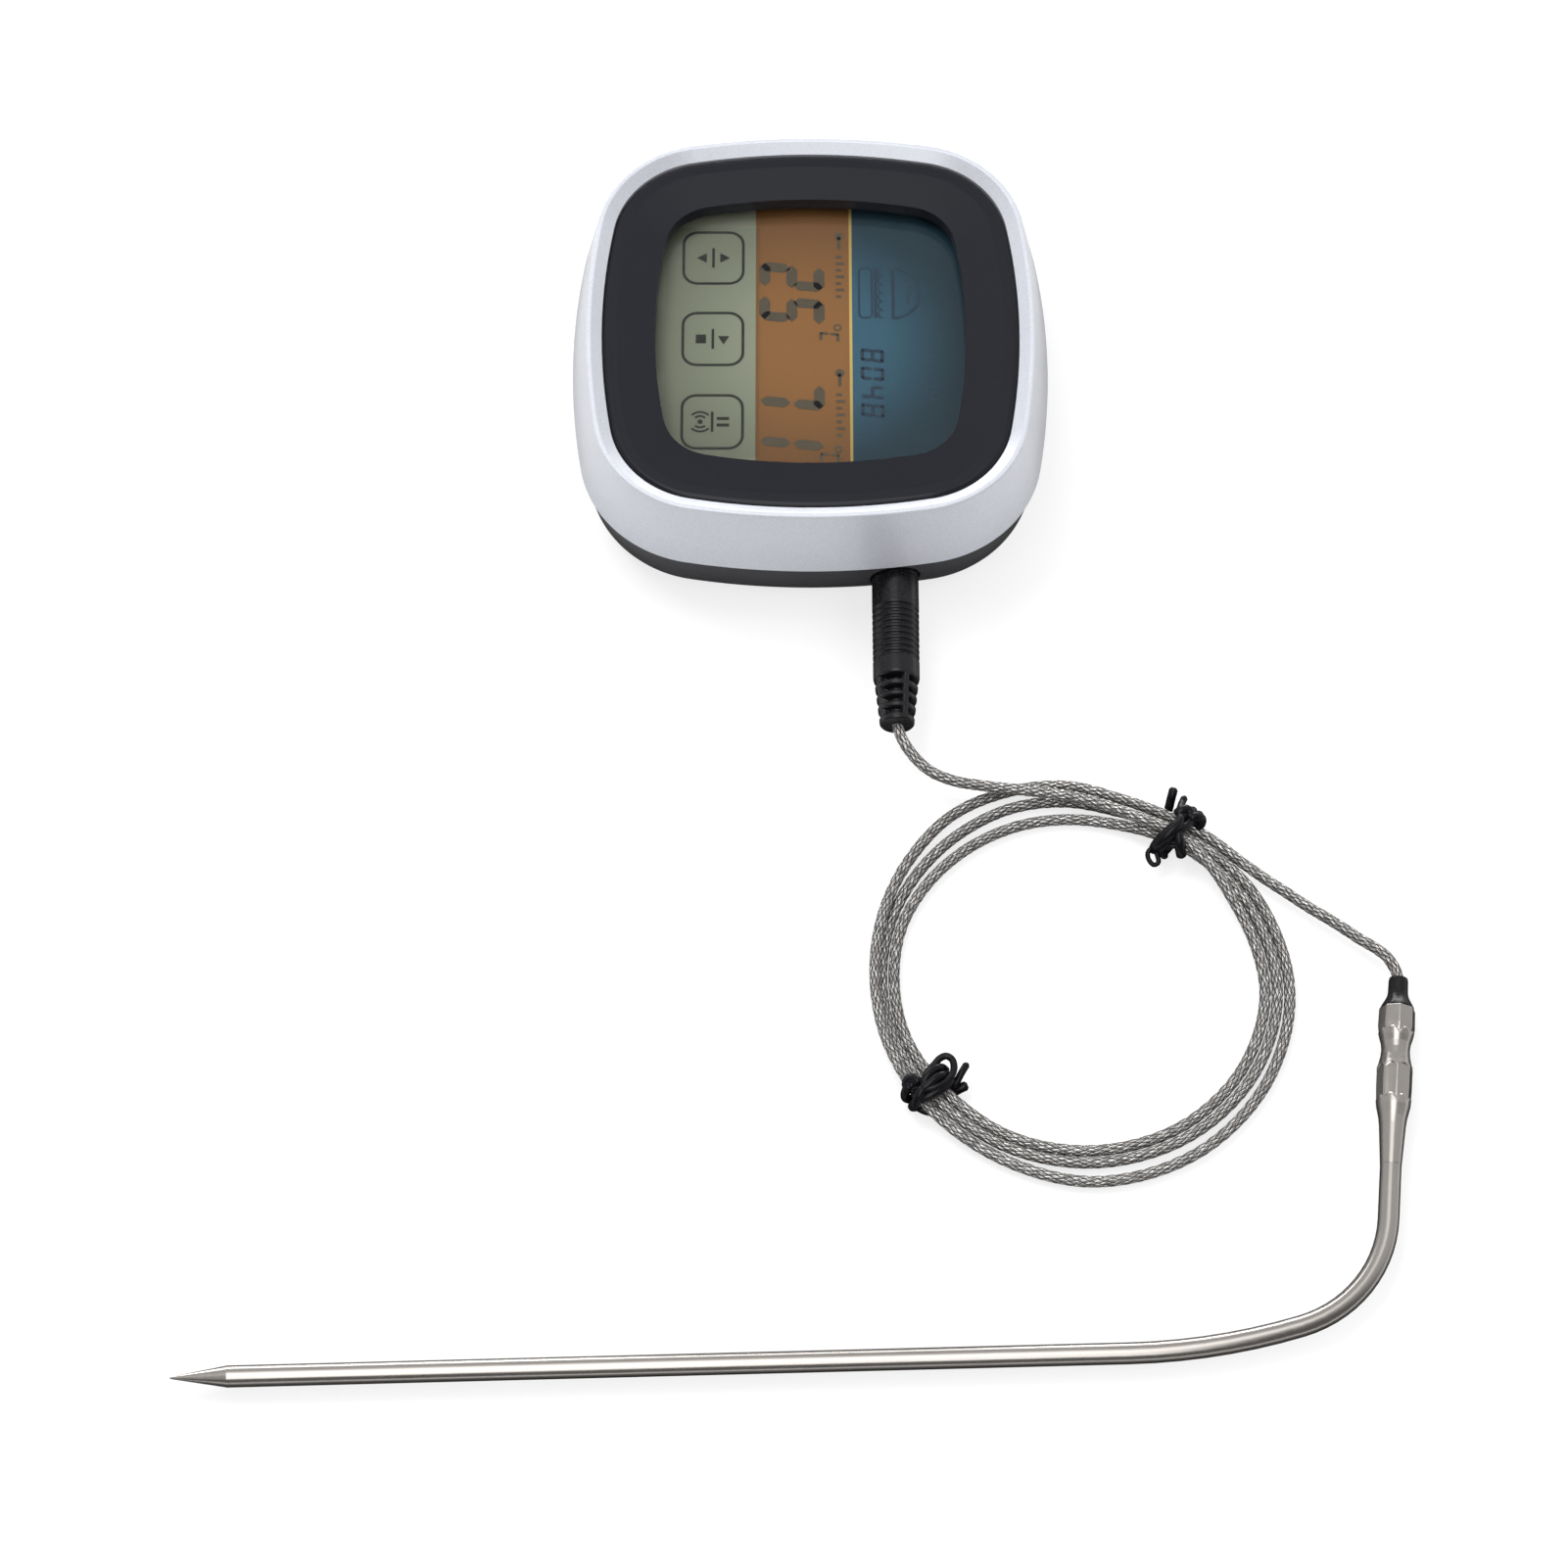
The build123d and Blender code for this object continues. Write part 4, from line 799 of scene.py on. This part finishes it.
def shrink_skin():
    """Shrink sleeve, drawn in from the crimp's mouth to the cable, with slack wrinkles."""
    wrinkle_height, wrinkle_place, wrinkle_reach = 0.07, 0.9, 0.7
    run = np.linspace(0, shrink_stations[-1][0], 75)
    sides = 72
    angle = np.linspace(0, 2 * pi, sides, endpoint=False)
    base = np.interp(run, *zip(*shrink_stations))
    slack = np.exp(-(((run - wrinkle_place) / wrinkle_reach) ** 2))
    folds = np.sin(7 * angle)[None, :] * 0.5 + np.sin(11 * angle + 1.3)[None, :] * 0.35
    radii = base[:, None] + wrinkle_height * slack[:, None] * folds
    path = np.array([tuple(crimp_base + shank * (crimp_end + 0.02 + distance)) for distance in run])
    points, faces = tube_mesh(path, shank_frames(len(run)), radii)
    piece = add_piece("shrink_skin", points, faces, "shrink_sleeve", "probe")
    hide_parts("heat_shrink")


crimp_flats()
shrink_skin()

# ---- what the display shows ----
ink_base = high("lcd_front_glass").z + 0.005
ink_thickness = 0.03


def on_display(right, up):
    """A point on the glass, reading with the unit's top edge upward."""
    return (up, -right)


def plate(outline):
    """A thin printed shape from its outline, given as (right, up) points."""
    flat = [on_display(*point) for point in outline]
    count = len(flat)
    area = sum(flat[i][0] * flat[i - 1][1] - flat[i - 1][0] * flat[i][1] for i in range(count))
    if area > 0:
        flat.reverse()
    points = [(x, y, ink_base + rise) for rise in (0, ink_thickness) for x, y in flat]
    faces = [list(range(count))[::-1], list(range(count, 2 * count))]
    for i in range(count):
        k = (i + 1) % count
        faces.append([i, k, count + k, count + i])
    return points, faces


def stroke(start, end, width, bevel=0.5):
    """A straight segment with pointed ends."""
    (x0, y0), (x1, y1) = start, end
    length = hypot(x1 - x0, y1 - y0)
    ux, uy = (x1 - x0) / length, (y1 - y0) / length
    nx, ny = -uy * width / 2, ux * width / 2
    cut = width * bevel
    return plate(
        (
            (x0, y0),
            (x0 + ux * cut + nx, y0 + uy * cut + ny),
            (x1 - ux * cut + nx, y1 - uy * cut + ny),
            (x1, y1),
            (x1 - ux * cut - nx, y1 - uy * cut - ny),
            (x0 + ux * cut - nx, y0 + uy * cut - ny),
        )
    )


segments = {
    "0": "abcdef", "1": "bc", "2": "abged", "5": "afgcd", "7": "abc", "8": "abcdefg", "4": "fgbc",
    "C": "afed",
}
slant = 0.11


def digit(symbol, left, right, bottom, top, width):
    """One seven-segment digit, leaning to the right."""
    centre = (bottom + top) / 2
    inset = width / 2
    corners = {
        "a": ((left, top - inset), (right, top - inset)),
        "g": ((left, centre), (right, centre)),
        "d": ((left, bottom + inset), (right, bottom + inset)),
        "f": ((left + inset, centre), (left + inset, top)),
        "b": ((right - inset, centre), (right - inset, top)),
        "e": ((left + inset, bottom), (left + inset, centre)),
        "c": ((right - inset, bottom), (right - inset, centre)),
    }
    strokes = []
    for name in segments[symbol]:
        (x0, y0), (x1, y1) = corners[name]
        length = hypot(x1 - x0, y1 - y0)
        gap = 0.12 * width / length
        x0, x1 = x0 + (x1 - x0) * gap, x1 - (x1 - x0) * gap
        y0, y1 = y0 + (y1 - y0) * gap, y1 - (y1 - y0) * gap
        lean0, lean1 = slant * (y0 - bottom), slant * (y1 - bottom)
        strokes.append(stroke((x0 + lean0, y0), (x1 + lean1, y1), width))
    return strokes


def ring(centre, half_width, half_height, corner, line):
    """A rounded square outline, as a closed band."""
    points, faces = [], []
    steps = 8
    for grow, rise in ((0, 0), (-line, 0), (-line, 1), (0, 1)):
        for quarter in range(4):
            for i in range(steps + 1):
                angle = pi / 2 * (quarter + i / steps)
                sx = 1 if quarter in (0, 3) else -1
                sy = 1 if quarter in (0, 1) else -1
                x = centre[0] + sx * (half_width - corner) + (corner + grow) * cos(angle)
                y = centre[1] + sy * (half_height - corner) + (corner + grow) * sin(angle)
                points.append((*on_display(x, y), ink_base + rise * ink_thickness))
    count = 4 * (steps + 1)
    for band in range(4):
        following = (band + 1) % 4
        for i in range(count):
            k = (i + 1) % count
            faces.append([band * count + i, following * count + i, following * count + k, band * count + k])
    return points, faces


def scallops(left, up, count, radius, line):
    """Half rings side by side, as one wavy band."""
    steps = 6
    outer_radius, inner_radius = radius + line / 2, radius - line / 2
    meet = acos(radius / outer_radius)
    outer, inner = [], []
    for i in range(count):
        x = left + radius * (2 * i + 1)
        for k in range(steps + 1):
            share = k / steps
            turn = pi + meet + (pi - 2 * meet) * share
            if i == 0 or k > 0:
                outer.append((x + outer_radius * cos(turn), up + outer_radius * sin(turn)))
            turn = pi + pi * share
            inner.append((x + inner_radius * cos(turn), up + inner_radius * sin(turn)))
    return plate(outer + inner[::-1])


def round_points(centre, radius, angles):
    """Points at these angles, in radians, on a circle."""
    return [(centre[0] + radius * cos(angle), centre[1] + radius * sin(angle)) for angle in angles]


def wave(centre, radius, start, end, line):
    """An arc between two angles in degrees, as one thin band."""
    steps = 6
    angles = [radians(start + (end - start) * i / steps) for i in range(steps + 1)]
    outer = round_points(centre, radius + line / 2, angles)
    inner = round_points(centre, radius - line / 2, angles)
    return plate(outer + inner[::-1])


def polygon(centre, radius, sides, turn):
    """A regular filled polygon."""
    angles = [radians(turn + 360 * i / sides) for i in range(sides)]
    return plate(round_points(centre, radius, angles))


def readings():
    """Two temperatures with their degree signs, and the row of small marks above them."""
    bottom, top, width = -8.15, 2.25, 1.75
    shapes = []
    for symbol, left, right in (("2", -15.2, -10.4), ("5", -8.9, -4.1), ("7", 7.0, 11.8), ("1", 14.4, 19.2)):
        shapes += digit(symbol, left, right, bottom, top, width)
    for degree_x, letter_x in ((-2.6, -1.9), (19.9, 20.5)):
        shapes.append(ring((degree_x, 4.3), 0.65, 0.65, 0.6, 0.3))
        shapes += digit("C", letter_x, letter_x + 1.7, 1.4, 4.6, 0.5)
    for start in (-20.0, 5.9):
        shapes.append(polygon((start, 4.6), 0.75, 12, 0))
        shapes.append(stroke((start, 4.6), (start + 2.6, 4.6), 0.55))
        for i in range(7):
            x = start + 4.0 + 1.25 * i
            shapes.append(stroke((x, 4.0), (x, 4.0 + (1.5 if i % 2 else 1.0)), 0.5, 0.2))
    add_piece("display_readings", *joined(shapes), "display_ink", "unit", "lcd_glass", flat=True)


def ghosts():
    """The unlit marks of the upper zone: a bun, four ghost digits and a row of ticks."""
    shapes = []
    shapes.append(wave((-9.2, 12.6), 5.0, 10, 170, 0.5))
    shapes.append(stroke((-14.2, 13.2), (-4.2, 13.2), 0.5, 0.2))
    shapes.append(scallops(-14.0, 11.6, 6, 0.8, 0.3))
    shapes.append(stroke((-14.0, 10.4), (-4.4, 10.4), 0.5, 0.3))
    shapes.append(ring((-9.2, 8.8), 4.9, 1.2, 1.0, 0.35))
    for i, x in enumerate((-11.8, -9.6, -7.4, -10.6, -8.3)):
        shapes.append(polygon((x, 15.6 + 0.5 * (i % 2)), 0.32, 6, 0))
    for i, symbol in enumerate("8048"):
        left = 1.2 + 3.4 * i
        shapes += digit(symbol, left, left + 2.4, 7.9, 11.7, 0.6)
    for i in range(9):
        shapes.append(stroke((0.8 + 1.25 * i, 18.9), (0.8 + 1.25 * i, 20.0), 0.4, 0.2))
    add_piece("display_ghosts", *joined(shapes), "ghost_ink", "unit", "lcd_glass", flat=True)


def keys():
    """Three touch keys: rounded squares, each with a pair of plain symbols and a bar between."""
    shapes = []
    line = 0.45
    for centre in (-15.85, -0.5, 14.9):
        shapes.append(ring((centre, -15.5), 5.1, 5.0, 2.5, line))
        shapes.append(stroke((centre - 1.9, -15.5), (centre + 1.9, -15.5), 0.42, 0.2))
    shapes.append(polygon((-15.85, -13.9), 1.05, 3, 90))
    shapes.append(polygon((-15.85, -17.1), 1.05, 3, -90))
    shapes.append(polygon((-0.5, -13.8), 1.05, 3, 0))
    shapes.append(polygon((-0.5, -17.4), 1.15, 4, 45))
    for x in (14.3, 15.5):
        shapes.append(stroke((x, -14.8), (x, -12.8), 0.55, 0.1))
    shapes.append(polygon((14.9, -17.4), 0.42, 10, 0))
    for radius in (1.05, 1.8):
        shapes.append(wave((14.9, -17.4), radius, -48, 48, 0.34))
        shapes.append(wave((14.9, -17.4), radius, 132, 228, 0.34))
    add_piece("key_marks", *joined(shapes), "key_ink", "unit", "lcd_glass", flat=True)


readings()
ghosts()
keys()


# ---- stage, light and camera ----
def lay_floor():
    """A wide floor just under the object."""
    edge = 3000.0
    floor_z = cad_low.z / MM - 0.1
    corners = [(x, y, floor_z) for x, y in ((-edge, -edge), (edge, -edge), (edge, edge), (-edge, edge))]
    mesh = bpy.data.meshes.new("floor")
    mesh.from_pydata((np.array(corners) * MM).tolist(), [], [[0, 1, 2, 3]])
    mesh.materials.append(finishes["studio_floor"])
    floor = bpy.data.objects.new("floor", mesh)
    bpy.context.scene.collection.objects.link(floor)


def soft_world():
    """An even grey light; mirrors see a long overhead light and a bright far wall instead."""
    even_level = 0.82
    world = bpy.data.worlds.new("studio")
    bpy.context.scene.world = world
    world.use_nodes = True
    tree = world.node_tree
    output = tree.nodes["World Output"]
    tree.nodes.remove(tree.nodes["Background"])
    direction = tree.nodes.new("ShaderNodeTexCoord").outputs["Generated"]
    x, y, z = node(tree, "ShaderNodeSeparateXYZ", {0: direction}).outputs
    base = ramp(tree, y, -0.5, 0.2, 0.12, 0.5)
    off_centre = calc(tree, "ABSOLUTE", calc(tree, "ADD", x, 0.08))
    strip = ramp(tree, off_centre, 0.16, 0.36, 1, 0)
    strip = calc(tree, "MULTIPLY", strip, ramp(tree, y, -0.8, -0.66, 0, 1))
    strip = calc(tree, "MULTIPLY", strip, ramp(tree, y, 0.0, 0.6, 1, 0))
    strip = calc(tree, "MULTIPLY", strip, ramp(tree, z, 0.3, 0.5, 0, 1.8))
    far_wall = calc(tree, "MULTIPLY", ramp(tree, y, 0.5, 0.85, 0, 5.5), ramp(tree, z, 0.08, 0.4, 1, 0))
    far_wall = calc(tree, "MULTIPLY", far_wall, ramp(tree, z, -0.3, -0.05, 0, 1))
    far_wall = calc(tree, "MULTIPLY", far_wall, ramp(tree, off_centre, 0.3, 0.7, 1, 0))
    mirrored = calc(tree, "ADD", calc(tree, "ADD", base, strip), far_wall)
    ray = node(tree, "ShaderNodeLightPath").outputs["Is Glossy Ray"]
    level = calc(tree, "MULTIPLY_ADD", calc(tree, "SUBTRACT", mirrored, even_level), ray, even_level)
    inputs = {"Color": (1.0, 1.0, 1.0, 1), "Strength": level}
    tree.links.new(node(tree, "ShaderNodeBackground", inputs).outputs[0], output.inputs["Surface"])


def softbox(name, place, aim, width, height, power):
    """A large rectangular light aimed at a point, in millimetres; mirrors see the world instead."""
    light = bpy.data.lights.new(name, "AREA")
    light.shape = "RECTANGLE"
    light.size, light.size_y = width * MM, height * MM
    light.energy = power
    lamp = bpy.data.objects.new(name, light)
    lamp.location = Vector(place) * MM
    lamp.rotation_mode = "QUATERNION"
    lamp.rotation_quaternion = (Vector(aim) - Vector(place)).to_track_quat("-Z", "Y")
    lamp.visible_glossy = False
    bpy.context.scene.collection.objects.link(lamp)


lay_floor()
soft_world()
softbox("key_light", (-260, 260, 620), (10, -60, 0), 420, 420, 4.6)
softbox("fill_light", (420, -150, 520), (20, -80, 0), 500, 300, 0.9)
softbox("far_light", (0, 700, 160), (0, 0, 12), 420, 120, 3.0)

camera_place = (-4.2, -379.4, 610.6)
camera_tilt = 26.92
camera_data = bpy.data.cameras.new("camera")
camera_data.lens = 101.19
camera_data.sensor_width = 36.0
camera = bpy.data.objects.new("camera", camera_data)
camera.location = Vector(camera_place) * MM
camera.rotation_euler = (radians(camera_tilt), 0, 0)
bpy.context.scene.collection.objects.link(camera)
bpy.context.scene.camera = camera
bpy.context.scene.view_settings.view_transform = "Standard"
bpy.context.scene.cycles.use_denoising = True
